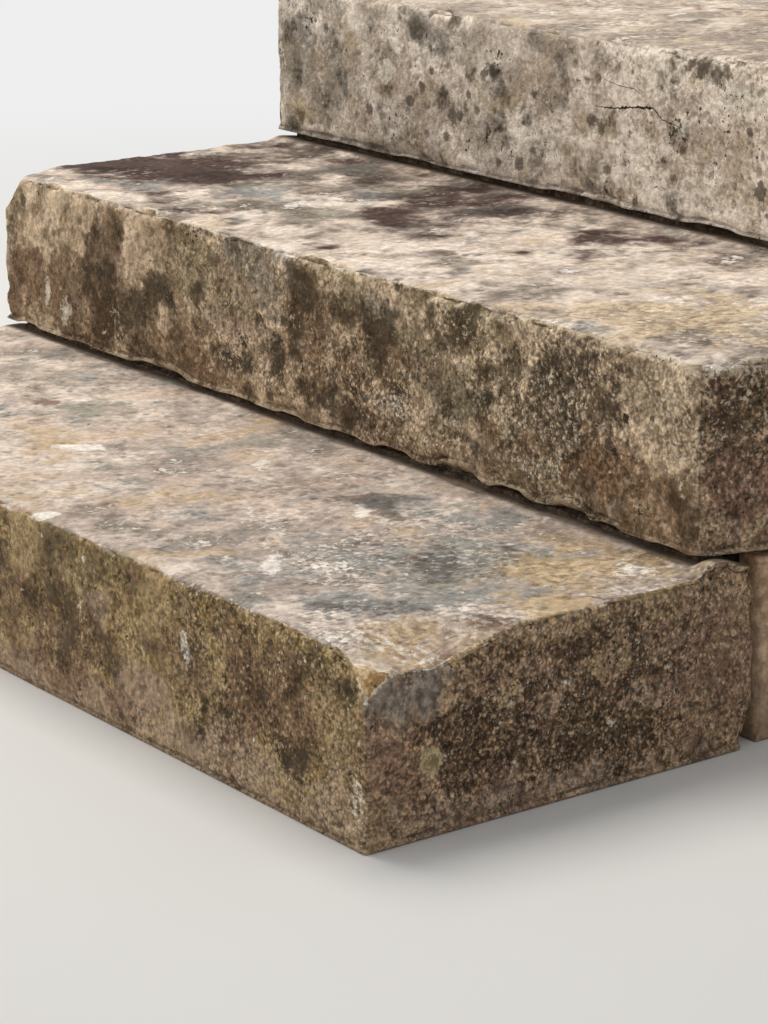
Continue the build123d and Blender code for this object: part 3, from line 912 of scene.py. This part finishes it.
middleStone = {
    "grid": 0.0036,
    "relief": {
        "Swell": 0.004, "Swell Scale": 3.6, "Pick": 0.0018, "Pick Scale": 38.0, "Pit Depth": 0.003,
        "Pit Scale": 50.0, "Pit Cover": 0.3, "Chip": 0.006, "Chip Scale": 19.0, "Tread Roughness": 0.45,
        "End Roughness": 1.6, "Seat Line": topLow.y, "Seed": 17.0,
    },
    "cover": {
        "front": (22, 18, 14, 0, 14, 16, 18, -2, 0, 18), "right": (24, 34, 14, 0, 8, 18, 10, 2, 0, 50),
        "left": (28, 22, 20, 0, 8, 14, 16, 0, 0, 35), "back": (28, 22, 20, 0, 8, 14, 16, 0, 0, 35),
        "tread": (-4, -4, 2, -5, 10, 20, 4, -10, 0, 18),
    },
    "cloudiness": (12, 12, 12, 9, 12, 14, 12, 6, 0, 12),
    "patches": {
        ("tone", "front"): [
            (-510, 320, 100, 45, 32), (330, 340, 50, 26, 25), (535, 300, 36, 60, 62),
            (-395, 280, 40, 80, -24), (470, 385, 60, 60, 15), (110, 320, 80, 30, 12), (255, 275, 80, 60, 36),
            (560, 270, 24, 60, 20), (460, 225, 90, 40, 10), (-300, 315, 55, 34, 26),
            (-440, 215, 60, 40, -30), (-540, 235, 60, 30, -15), (-215, 225, 50, 30, -12),
            (-120, 275, 100, 60, 20), (80, 335, 60, 22, 20), (0, 180, 700, 6, 25),
        ],
        ("tone", "right"): [(-180, 260, 60, 60, 16)],
        ("tone", "tread"): [
            (-250, 110, 330, 85, -40), (-350, -40, 220, 70, -30), (-100, 20, 90, 90, -20),
            (150, -80, 220, 100, 20), (-520, 110, 100, 70, -44), (-380, 100, 100, 70, -46),
            (-250, 110, 90, 60, -44), (-60, 110, 90, 55, -44), (-440, -120, 60, 40, -20),
            (-225, -30, 40, 45, 26), (-340, 65, 30, 14, 45), (-510, 90, 30, 12, 40),
        ],
        ("ochre", "front"): [
            (-510, 320, 95, 42, 22), (-300, 312, 50, 34, 20), (80, 332, 60, 20, 30), (180, 205, 14, 12, 80),
            (330, 340, 42, 20, 30), (530, 310, 36, 50, 35), (375, 295, 20, 70, 20), (140, 232, 40, 22, 20),
        ],
        ("ochre", "tread"): [
            (460, -80, 140, 95, 55), (-500, -30, 150, 100, -60), (-130, 80, 130, 120, -60),
            (130, 70, 50, 70, -50), (330, -140, 30, 30, 45), (-500, -170, 90, 28, 30),
        ],
        ("moss", "front"): [
            (-180, 300, 70, 44, 60), (160, 292, 55, 40, 45), (235, 338, 45, 20, 50), (230, 262, 60, 36, 60),
            (70, 325, 60, 26, 45), (430, 200, 80, 20, 45),
        ],
        ("moss", "tread"): [
            (-178, -85, 40, 32, 75), (-262, -108, 28, 18, 70), (-255, 62, 60, 26, 55),
            (-360, 30, 80, 50, 35), (-310, 85, 30, 22, 50),
        ],
        ("rose", "front"): [
            (-130, 250, 62, 10, 50), (-300, 320, 50, 30, 25), (-420, 330, 40, 20, 20), (520, 340, 80, 16, 25),
        ],
        ("rose", "tread"): [(0, -20, 120, 80, 35), (240, -70, 80, 80, 35)],
        ("soot", "front"): [
            (-595, 283, 22, 50, 30), (-395, 290, 34, 75, 34), (-350, 215, 80, 36, 34),
            (-205, 278, 14, 12, 50), (-150, 215, 22, 10, 55), (-115, 222, 16, 12, 55),
            (-62, 236, 12, 28, 60), (-90, 270, 10, 10, 45), (-15, 312, 28, 45, 32), (60, 255, 80, 55, 20),
            (160, 285, 50, 36, 22), (230, 336, 40, 24, 32), (300, 275, 30, 40, 22), (405, 292, 42, 55, 44),
            (455, 322, 45, 24, 40), (-360, 225, 40, 20, 20), (-510, 320, 90, 40, -35),
            (-300, 315, 45, 32, -20), (535, 305, 36, 55, -45), (330, 340, 40, 22, -35),
        ],
        ("soot", "right"): [(-170, 315, 28, 38, 55), (-147, 325, 18, 16, 60)],
        ("soot", "tread"): [
            (-540, -112, 45, 24, 90), (-470, 48, 25, 16, 70), (62, -86, 15, 14, 70), (105, -20, 10, 8, 70),
            (-360, -148, 18, 22, 60), (82, 103, 16, 8, 70), (320, -80, 7, 7, 90), (560, -165, 30, 22, 35),
            (-60, -170, 10, 10, 60), (-275, -165, 10, 9, 60), (-520, 105, 80, 45, 42),
            (-330, 95, 80, 45, 36), (-190, 120, 110, 50, 46), (-40, 100, 80, 50, 36),
            (-390, -20, 70, 55, 32), (-80, -20, 60, 50, 34),
        ],
        ("rust", "front"): [
            (-540, 230, 70, 34, 55), (460, 222, 62, 42, 50), (50, 250, 90, 55, 34), (540, 205, 50, 32, 50),
            (-215, 215, 60, 34, 45), (-420, 215, 50, 36, 40), (310, 215, 50, 26, 40), (-20, 310, 30, 34, 35),
            (-60, 190, 80, 12, 35),
        ],
        ("rust", "right"): [(-161, 233, 40, 42, 55)],
        ("rust", "tread"): [
            (-480, 110, 120, 70, 32), (-250, 110, 120, 70, 32), (-50, 100, 100, 60, 30),
            (-550, -45, 80, 75, 135), (-430, -30, 55, 50, 115), (-490, -40, 60, 50, 125),
            (-545, -100, 30, 30, 105), (-120, -10, 34, 45, 90), (-160, 45, 40, 38, 80),
            (-120, 130, 80, 42, 75), (-205, 145, 60, 28, 65), (-40, 120, 60, 36, 50), (-60, 20, 50, 40, 32),
            (118, 78, 28, 36, 100), (148, 26, 14, 24, 85), (142, 125, 26, 22, 65), (75, 107, 20, 10, 80),
            (-560, 135, 40, 32, 60), (-480, 80, 40, 26, 55), (-420, 135, 45, 30, 45), (-300, 75, 32, 16, 60),
            (-360, -150, 16, 32, 50), (-265, -165, 26, 10, 50), (60, -85, 20, 14, 60),
            (-30, -165, 12, 16, 55), (105, -22, 12, 9, 65), (-10, -45, 16, 10, 60),
        ],
        ("lime", "front"): [
            (-510, 226, 7, 22, 75), (-468, 214, 10, 20, 60), (405, 262, 40, 40, 20), (140, 228, 36, 14, 35),
            (345, 212, 60, 12, 30), (530, 300, 30, 40, 15),
        ],
        ("lime", "right"): [(-172, 351, 38, 12, 60)],
        ("lime", "tread"): [
            (-210, -30, 40, 50, 30), (50, 0, 60, 40, 22), (-500, -160, 80, 26, 25), (-480, 110, 20, 25, 25),
            (150, -150, 150, 50, 8),
        ],
        ("slate", "front"): [(230, 262, 55, 30, 40), (-90, 312, 60, 36, 50), (130, 300, 40, 30, 40)],
        ("slate", "tread"): [
            (-330, -65, 70, 45, 50), (350, 10, 26, 26, 45), (-430, -125, 60, 30, 45), (-400, 20, 60, 40, 35),
            (-200, 40, 200, 80, 20),
        ],
        ("pits", "front"): [
            (470, 250, 5, 4, 80), (484, 282, 5, 4, 80), (290, 262, 7, 5, 60), (-120, 235, 90, 30, 14),
            (-250, 290, 80, 30, 8),
        ],
        ("crust", "front"): [
            (400, 270, 90, 80, 70), (150, 225, 120, 45, 40), (-100, 270, 120, 80, 25),
            (530, 300, 60, 70, 40), (250, 270, 140, 80, 25), (-500, 310, 120, 60, -15),
        ],
        ("crust", "tread"): [(450, -100, 150, 100, 30)],
    },
    "hidden": {"faces": ("left", "back"), "seed": 8,
               "counts": {"soot": 6, "rust": 4, "ochre": 4, "moss": 3, "rose": 3, "lime": 2}},
    "spots": [
        (-205, 282, 8), (-190, 270, 6), (-163, 288, 4), (-140, 272, 5), (-90, 270, 9), (-48, 276, 6),
        (-62, 246, 8), (-60, 228, 9), (-66, 258, 6), (-150, 225, 10), (-115, 218, 13), (-85, 240, 8),
        (-70, 192, 9), (15, 207, 5), (-20, 325, 10), (-12, 306, 9), (15, 290, 8), (395, 262, 5),
        (470, 282, 5), (462, 256, 6), (290, 265, 7), (-560, 322, 7), (-340, 246, 7), (-250, 226, 5),
        (-310, 262, 5), (60, 214, 4), (102, 270, 5), (236, 334, 9), (388, 318, 10), (402, 300, 9),
        (418, 322, 8), (440, 330, 7), (398, 280, 7), (412, 244, 5),
    ],
    "strewn": (70, 32),
    "footChips": [
        (-560, 30, 4), (-440, 30, 2), (-290, 60, 6), (-130, 40, 2), (-40, 30, 3), (60, 34, 3), (138, 34, 5),
        (238, 44, 9), (318, 34, 6), (402, 36, 9), (462, 22, 4), (540, 26, 2),
    ],
    "look": changedLook(bottomStone["look"], {
        "seed": 11.0, "coarseScale": 23.0, "raggedArris": 0.3,
        "riserFine": 0.5, "treadFine": 0.30, "riserGranular": 0.8,
        "riser": [(0.12, (0.175, 0.120, 0.073)), (0.5, (0.39, 0.280, 0.174)), (0.88, (0.77, 0.595, 0.41))],
        "end": [(0.05, (0.31, 0.202, 0.113)), (0.5, (0.63, 0.435, 0.255)), (0.90, (0.82, 0.61, 0.385))],
        "tread": [(0.00, (0.20, 0.160, 0.130)), (0.5, (0.53, 0.432, 0.355)), (0.88, (0.78, 0.662, 0.555))],
        "paleGrains": 0.8, "paleColours": ((0.64, 0.53, 0.38), (0.55, 0.45, 0.33), (0.85, 0.78, 0.68)),
        "rubbed": 0.8, "rubbedColours": ((0.66, 0.53, 0.38), (0.58, 0.46, 0.33), (0.78, 0.66, 0.53)),
    }, {
        "rust": stain((0.25, 0.155, 0.088), (0.27, 0.155, 0.105), (0.058, 0.029, 0.023), 0.8, 0.60, 0.96,
                      mottle=0.30),
        "ochre": ((0.50, 0.375, 0.235), (0.42, 0.29, 0.16), (0.62, 0.47, 0.30)),
        "rose": ((0.46, 0.345, 0.260), (0.38, 0.25, 0.18), (0.70, 0.575, 0.475)),
        "moss": ((0.215, 0.182, 0.092), (0.21, 0.155, 0.085), (0.27, 0.245, 0.18)),
    }),
}

finishStone("middle_step", "middleBlock", middleStone)


# The top step

topStone = {
    "grid": 0.0036,
    "relief": {
        "Swell": 0.0035, "Swell Scale": 3.0, "Pick": 0.0014, "Pick Scale": 40.0, "Pit Depth": 0.0035,
        "Pit Scale": 55.0, "Pit Cover": 0.35, "Chip": 0.005, "Chip Scale": 21.0, "Tread Roughness": 0.4,
        "End Roughness": 1.5, "Seat Line": farAway, "Seed": 29.0,
    },
    "cover": {
        "front": (2, -5, 6, 2, 16, 20, 8, 2, 0, 16), "right": (18, 14, 12, 2, 12, 16, 12, 4, 0, 35),
        "left": (18, 14, 12, 2, 12, 16, 12, 4, 0, 35), "back": (18, 14, 12, 2, 12, 16, 12, 4, 0, 35),
        "tread": (-4, -6, 12, -2, 12, 18, 2, -10, 0, 30),
    },
    "cloudiness": (10, 8, 10, 8, 14, 14, 12, 5, 0, 12),
    "patches": {
        ("tone", "front"): [
            (200, 430, 170, 120, 52), (0, 510, 120, 20, 15), (-300, 400, 150, 30, -15),
            (-80, 420, 100, 30, 10),
        ],
        ("ochre", "front"): [
            (-560, 383, 40, 18, 45), (150, 505, 20, 12, 40), (220, 420, 50, 40, 20), (-480, 430, 60, 40, 15),
        ],
        ("moss", "front"): [(-540, 470, 70, 50, 30), (20, 405, 60, 22, 30), (-420, 500, 80, 30, 25)],
        ("rose", "front"): [(-360, 440, 60, 40, 35), (-100, 480, 100, 40, 25), (170, 450, 100, 40, 35)],
        ("soot", "front"): [
            (-250, 450, 110, 50, 14), (150, 520, 50, 16, 42), (-205, 474, 40, 16, 25), (-520, 470, 90, 60, 6),
        ],
        ("rust", "front"): [(-271, 535, 10, 9, 90), (120, 440, 12, 10, 50)],
        ("rust", "tread"): [(-91, 438, 42, 25, 80), (-134, 424, 25, 22, 70)],
        ("lime", "front"): [(-386, 459, 13, 12, 120), (208, 500, 26, 14, 65), (10, 420, 6, 5, 60)],
        ("lime", "tread"): [(-166, 305, 70, 34, 30)],
        ("slate", "front"): [
            (-540, 470, 80, 60, 35), (-300, 505, 60, 30, 35), (-90, 524, 30, 14, 45), (-170, 440, 60, 30, 25),
        ],
        ("pits", "front"): [(175, 455, 70, 26, 16), (-240, 430, 120, 40, 2)],
        ("crust", "front"): [(250, 450, 200, 100, 25)],
    },
    "hidden": {"faces": ("left", "right", "back"), "seed": 12,
               "counts": {"soot": 5, "rust": 3, "ochre": 4, "moss": 3, "rose": 3, "lime": 2}},
    "spots": [
        (-340, 427, 8), (-262, 418, 9), (-250, 422, 7), (-205, 474, 9), (-190, 478, 8), (-418, 408, 8),
        (-272, 396, 8), (-138, 428, 6), (-143, 383, 9), (-24, 446, 10), (-8, 440, 10), (2, 447, 8),
        (37, 438, 7), (92, 418, 6), (150, 520, 12), (132, 524, 9), (172, 516, 11), (242, 408, 10),
        (-318, 446, 8), (48, 368, 8), (-90, 410, 4), (-170, 430, 5), (-178, 380, 5), (-232, 448, 5),
        (225, 466, 5), (172, 462, 4), (205, 448, 3), (-268, 534, 8), (-120, 462, 5), (-40, 392, 4),
        (-200, 410, 4), (300, 470, 5), (-300, 466, 6),
    ],
    "strewn": (60, 33),
    "cracks": {
        "crackMain": ([(-0.022, 0.461), (0.015, 0.463), (0.050, 0.469), (0.074, 0.471), (0.088, 0.461),
                       (0.118, 0.456)], 0.0013),
        "crackFork": ([(-0.015, 0.494), (0.020, 0.488), (0.045, 0.487), (0.066, 0.480)], 0.0004),
    },
    "footChips": [
        (-470, 50, 1), (-330, 40, 2), (-60, 50, 3), (80, 34, 1), (170, 46, 3), (300, 40, 2), (430, 50, 3),
    ],
    "look": changedLook(bottomStone["look"], {
        "seed": 23.0, "coarseScale": 22.0, "fineScale": 190.0, "raggedArris": 0.3,
        "riserFine": 0.4, "treadFine": 0.36, "riserGranular": 0.6,
        "spots": 0.8, "spotColour": (0.085, 0.066, 0.045),
        "riser": [(0.05, (0.42, 0.342, 0.268)), (0.5, (0.66, 0.552, 0.450)), (0.90, (0.91, 0.79, 0.66))],
        "end": [(0.12, (0.16, 0.12, 0.085)), (0.5, (0.32, 0.245, 0.18)), (0.88, (0.55, 0.45, 0.34))],
        "tread": [(0.05, (0.28, 0.22, 0.18)), (0.5, (0.48, 0.39, 0.31)), (0.88, (0.70, 0.595, 0.49))],
        "paleGrains": 0.6, "paleColours": ((0.70, 0.61, 0.49), (0.60, 0.50, 0.38), (0.85, 0.78, 0.68)),
        "riserCavityShading": 0.55, "endCavityShading": 0.9,
        "rubbed": 0.5, "rubbedColours": ((0.62, 0.52, 0.41), (0.55, 0.46, 0.35), (0.74, 0.64, 0.52)),
        "riserBump": 0.9, "endBump": 1.4,
    }, {
        "slate": ((0.27, 0.235, 0.190), (0.26, 0.23, 0.19), (0.34, 0.30, 0.25)),
        "moss": ((0.30, 0.255, 0.185), (0.25, 0.20, 0.13), (0.40, 0.35, 0.26)),
        "rose": ((0.45, 0.345, 0.260), (0.40, 0.30, 0.22), (0.66, 0.54, 0.44)),
        "rust": ((0.20, 0.12, 0.08), (0.24, 0.15, 0.10), (0.20, 0.075, 0.045)),
        "ochre": ((0.50, 0.39, 0.24), (0.42, 0.31, 0.19), (0.60, 0.47, 0.31)),
    }),
}

finishStone("top_step", "topBlock", topStone)


# The rendered core and the mortar

coreSettings = {
    "grid": 0.006,
    "relief": {"Swell": 0.002, "Swell Scale": 2.5, "Pick": 0.0004, "Pick Scale": 20.0, "Pit Depth": 0.0008,
               "Pit Scale": 30.0, "Pit Cover": 0.1, "Chip": 0.002, "Chip Scale": 20.0, "Tread Roughness": 0.0,
               "End Roughness": 1.0, "Seat Line": -farAway, "Seed": 41.0},
    "shades": [(0.1, (0.37, 0.240, 0.145)), (0.5, (0.47, 0.318, 0.200)), (0.9, (0.58, 0.41, 0.275))],
    "damp": 0.42,
    "dampHeight": 0.055,
    "darkUnderBed": 0.42,
    "dampAndUnderBedColour": (0.17, 0.125, 0.085),
}

mortarSettings = {
    "spacing": 0.004,       # between two rings of points along a bed
    "levels": (0.0, 0.46, 0.62, 1.0),
    "eaten": (0.05, 0.12, 1.0, 1.0),    # earth lies in front of the lower half
    "wave": 0.45,
    "bite": 0.013,          # how far the weather has eaten into the front
    "endBite": 0.004,
    "roughness": 70.0,
    "jointShades": [(0.2, (0.010, 0.008, 0.006)), (0.6, (0.030, 0.023, 0.017)), (1.0, (0.11, 0.09, 0.07))],
    "bedShades": [(0.2, (0.055, 0.038, 0.024)), (0.6, (0.130, 0.094, 0.062)), (1.0, (0.27, 0.20, 0.14))],
}


def makeRenderMaterial():
    material, tree, shader, place = newMaterial("coreRender")
    grain = useGroup(tree, grainGroup, {"Vector": place, "Seed": 5.0, "Coarse Scale": 9.0,
                                        "Fine Scale": 120.0})
    tone = weighted(tree, (grain["Coarse A"], 0.6), (grain["Fine A"], 0.4))
    colour = ramp(tree, tone, coreSettings["shades"])
    relief = useGroup(tree, reliefGroup, {"Vector": place, "Scale": 110.0})
    # painted shade in the fine hollows of the render and a painted highlight on its bumps
    shading = maths(tree, "MULTIPLY_ADD", maths(tree, "SUBTRACT", relief["CavityShading"], 0.5), 0.55, 1.0)
    colour = mixColour(tree, 1.0, colour, shading, "MULTIPLY")
    # damp rises from the ground, and the core is darker in streaks that reach down from just below the joint
    # under the blocks
    ragged = weighted(tree, (grain["Coarse B"], 0.045), (grain["Fine B"], 0.010))
    height = maths(tree, "SUBTRACT", splitUp(tree, place)[2], ragged)
    dampAndUnderBedColour = opaque(coreSettings["dampAndUnderBedColour"])
    damp = mapRange(tree, height, 0.0, coreSettings["dampHeight"], coreSettings["damp"], 0.0)
    colour = mixColour(tree, damp, colour, dampAndUnderBedColour)
    streaks = addNoise(tree, vectorMaths(tree, "MULTIPLY", place, (1.0, 1.0, 0.08)), 34.0, 3.0, 0.6)[0]
    reach = weighted(tree, (height, 1.0), (streaks, 0.16))
    darkUnderBed = mapRange(tree, reach, middleHigh.z - 0.01, middleHigh.z + 0.07, 0.0, coreSettings["darkUnderBed"])
    colour = mixColour(tree, darkUnderBed, colour, dampAndUnderBedColour)
    finishShader(tree, shader, colour, relief["Height"], 0.0005, 0.9, 0.2)
    return material


def makeMortarMaterial(name, shades):
    material, tree, shader, place = newMaterial(name)
    grain = useGroup(tree, grainGroup, {"Vector": place, "Seed": 9.0, "Coarse Scale": 40.0,
                                        "Fine Scale": 220.0})
    tone = weighted(tree, (grain["Coarse A"], 0.5), (grain["Fine A"], 0.5))
    relief = useGroup(tree, reliefGroup, {"Vector": place, "Scale": 150.0})
    finishShader(tree, shader, ramp(tree, tone, shades), relief["Height"], 0.002, 0.95, 0.1)
    return material


renderMaterial = makeRenderMaterial()
jointMaterial = makeMortarMaterial("jointMortar", mortarSettings["jointShades"])
bedMaterial = makeMortarMaterial("bedMortar", mortarSettings["bedShades"])


def finishCore(nodeName, pieceName):
    mesh = dress(nodeName, pieceName, coreSettings, renderMaterial)
    flattenFoot(mesh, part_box(nodeName)[0].z)
    placePiece(mesh, nodeName, pieceName)


def eaten(point, amount):
    # how deep the weather has eaten into the mortar at a point
    value = spaceNoise.fractal(point * mortarSettings["roughness"], 1.0, 2.0, 3)
    broad = spaceNoise.noise(point * 14.0)
    return amount * min(1.0, max(0.0, 0.45 + value * 0.4 + broad * 0.4))


def finishBed(nodeName, pieceName):
    # a strip of mortar with a ragged front, back and ends, and a gap under the stone
    low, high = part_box(nodeName)
    work = bmesh.new()
    count = round((high.x - low.x) / mortarSettings["spacing"])
    deepest = min(mortarSettings["bite"], (high.y - low.y) * 0.4)
    profile = list(zip(mortarSettings["levels"], mortarSettings["eaten"]))
    rings = []
    for station in range(count + 1):
        x = low.x + (high.x - low.x) * station / count
        ring = []
        for side, y in ((1.0, low.y), (-1.0, high.y)):
            for share, opened in profile if side > 0 else reversed(profile):
                wave = mortarSettings["wave"] * spaceNoise.noise(Vector((x * 22.0, y, 3.0)))
                z = low.z + (high.z - low.z) * (share + wave * share * (1.0 - share) * 4.0)
                point = Vector((x, y, z))
                shift = {0: 1.0, count: -1.0}.get(station, 0.0) * eaten(point, mortarSettings["endBite"])
                ring.append(work.verts.new((x + shift, y + side * eaten(point, deepest * opened), z)))
        rings.append(ring)
    size = len(rings[0])
    for near, far in zip(rings, rings[1:]):
        for index in range(size):
            after = (index + 1) % size
            work.faces.new((near[index], near[after], far[after], far[index]))
    work.faces.new(rings[0])
    work.faces.new(list(reversed(rings[-1])))
    bmesh.ops.recalc_face_normals(work, faces=work.faces)
    mesh = bpy.data.meshes.new(pieceName)
    work.to_mesh(mesh)
    work.free()
    mesh.materials.append(bedMaterial)
    placePiece(mesh, nodeName, pieceName)


finishCore("lower_core", "lowerCore")
finishCore("upper_core", "upperCore")
finishBed("bed_on_bottom_step", "lowerFrontBed")
finishBed("bed_on_lower_core", "lowerRearBed")
finishBed("bed_on_middle_step", "upperFrontBed")
finishBed("bed_on_upper_core", "upperRearBed")
for nodeName in ("joint_behind_bottom_step", "joint_behind_middle_step"):
    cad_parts[nodeName].data.materials.clear()
    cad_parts[nodeName].data.materials.append(jointMaterial)
print("core and mortar made")


# Floor, light and camera

lightSettings = {
    "sky": 0.50,
    "skyColour": (0.94, 0.97, 1.0),
    "backdrop": (0.86, 0.86, 0.86),
    "floorShades": [(0.3, (0.68, 0.665, 0.64)), (0.7, (0.71, 0.695, 0.67))],
    "floorFade": (1.2, 3.2),
    "floorSize": 14.0,
    "floorDrop": 0.0005,
    "target": (0.0, 0.0, 0.25),
    "key": {"place": (-1.5, -0.35, 3.9), "size": 2.6, "power": 130.0, "colour": (1.0, 0.965, 0.91)},
    "fill": {"place": (-0.6, -4.2, 1.8), "size": 3.0, "power": 24.0, "colour": (1.0, 0.97, 0.93)},
}


def makeFloor():
    place = (0.0, 0.0, -lightSettings["floorDrop"])
    bpy.ops.mesh.primitive_plane_add(size=lightSettings["floorSize"], location=place)
    floor = bpy.context.object
    floor.name = "floor"
    material, tree, shader, place = newMaterial("paleFloor")
    tone = addNoise(tree, place, 1.5, 3.0, 0.5)[0]
    connect(tree, shader, {"Base Color": ramp(tree, tone, lightSettings["floorShades"]), "Roughness": 0.9})
    # far from the steps the floor fades into the backdrop, as on a studio sweep
    away = addNode(tree, "ShaderNodeVectorMath", {0: place}, operation="LENGTH").outputs["Value"]
    fade = mapRange(tree, away, *lightSettings["floorFade"])
    seen = tree.nodes.new("ShaderNodeLightPath").outputs["Is Camera Ray"]
    sweep = addNode(tree, "ShaderNodeEmission", {"Color": opaque(lightSettings["backdrop"])})
    blend = addNode(tree, "ShaderNodeMixShader", {0: times(tree, fade, seen), 1: shader.outputs[0],
                                                  2: sweep.outputs[0]})
    tree.links.new(blend.outputs[0], tree.nodes["Material Output"].inputs[0])
    floor.data.materials.append(material)


def addLamp(name):
    settings = lightSettings[name]
    lamp = bpy.data.lights.new(name, "AREA")
    lamp.shape = "SQUARE"
    lamp.size = settings["size"]
    lamp.energy = settings["power"]
    lamp.color = settings["colour"]
    holder = bpy.data.objects.new(name, lamp)
    bpy.context.scene.collection.objects.link(holder)
    holder.location = settings["place"]
    aim = Vector(lightSettings["target"]) - holder.location
    holder.rotation_euler = aim.to_track_quat("-Z", "Y").to_euler()


def makeWorld():
    world = bpy.data.worlds.new("softStudio")
    world.use_nodes = True
    bpy.context.scene.world = world
    tree = world.node_tree
    tree.nodes.clear()
    path = tree.nodes.new("ShaderNodeLightPath").outputs
    mirrored = maths(tree, "MAXIMUM", path["Is Glossy Ray"], path["Is Transmission Ray"])
    seen = maths(tree, "MAXIMUM", path["Is Camera Ray"], mirrored)
    colour = mixColour(tree, seen, opaque(lightSettings["skyColour"]), opaque(lightSettings["backdrop"]))
    strength = mixValue(tree, seen, lightSettings["sky"], 1.0)
    background = addNode(tree, "ShaderNodeBackground", {0: colour, 1: strength})
    output = tree.nodes.new("ShaderNodeOutputWorld")
    tree.links.new(background.outputs[0], output.inputs[0])


cameraSettings = {
    "place": (2.5785, -2.0285, 0.9982),
    "turn": (73.856, 0.073, 53.435),
    "lens": 113.42,
    "sensor": 36.0,
    "reach": 60.0,
}


def makeCamera():
    camera = bpy.data.cameras.new("camera")
    camera.lens = cameraSettings["lens"]
    camera.sensor_width = cameraSettings["sensor"]
    camera.clip_end = cameraSettings["reach"]
    holder = bpy.data.objects.new("camera", camera)
    bpy.context.scene.collection.objects.link(holder)
    holder.location = cameraSettings["place"]
    holder.rotation_euler = [math.radians(angle) for angle in cameraSettings["turn"]]
    bpy.context.scene.camera = holder


makeFloor()
makeWorld()
addLamp("key")
addLamp("fill")
makeCamera()
bpy.context.scene.view_settings.view_transform = "Standard"
print("floor, light and camera placed")
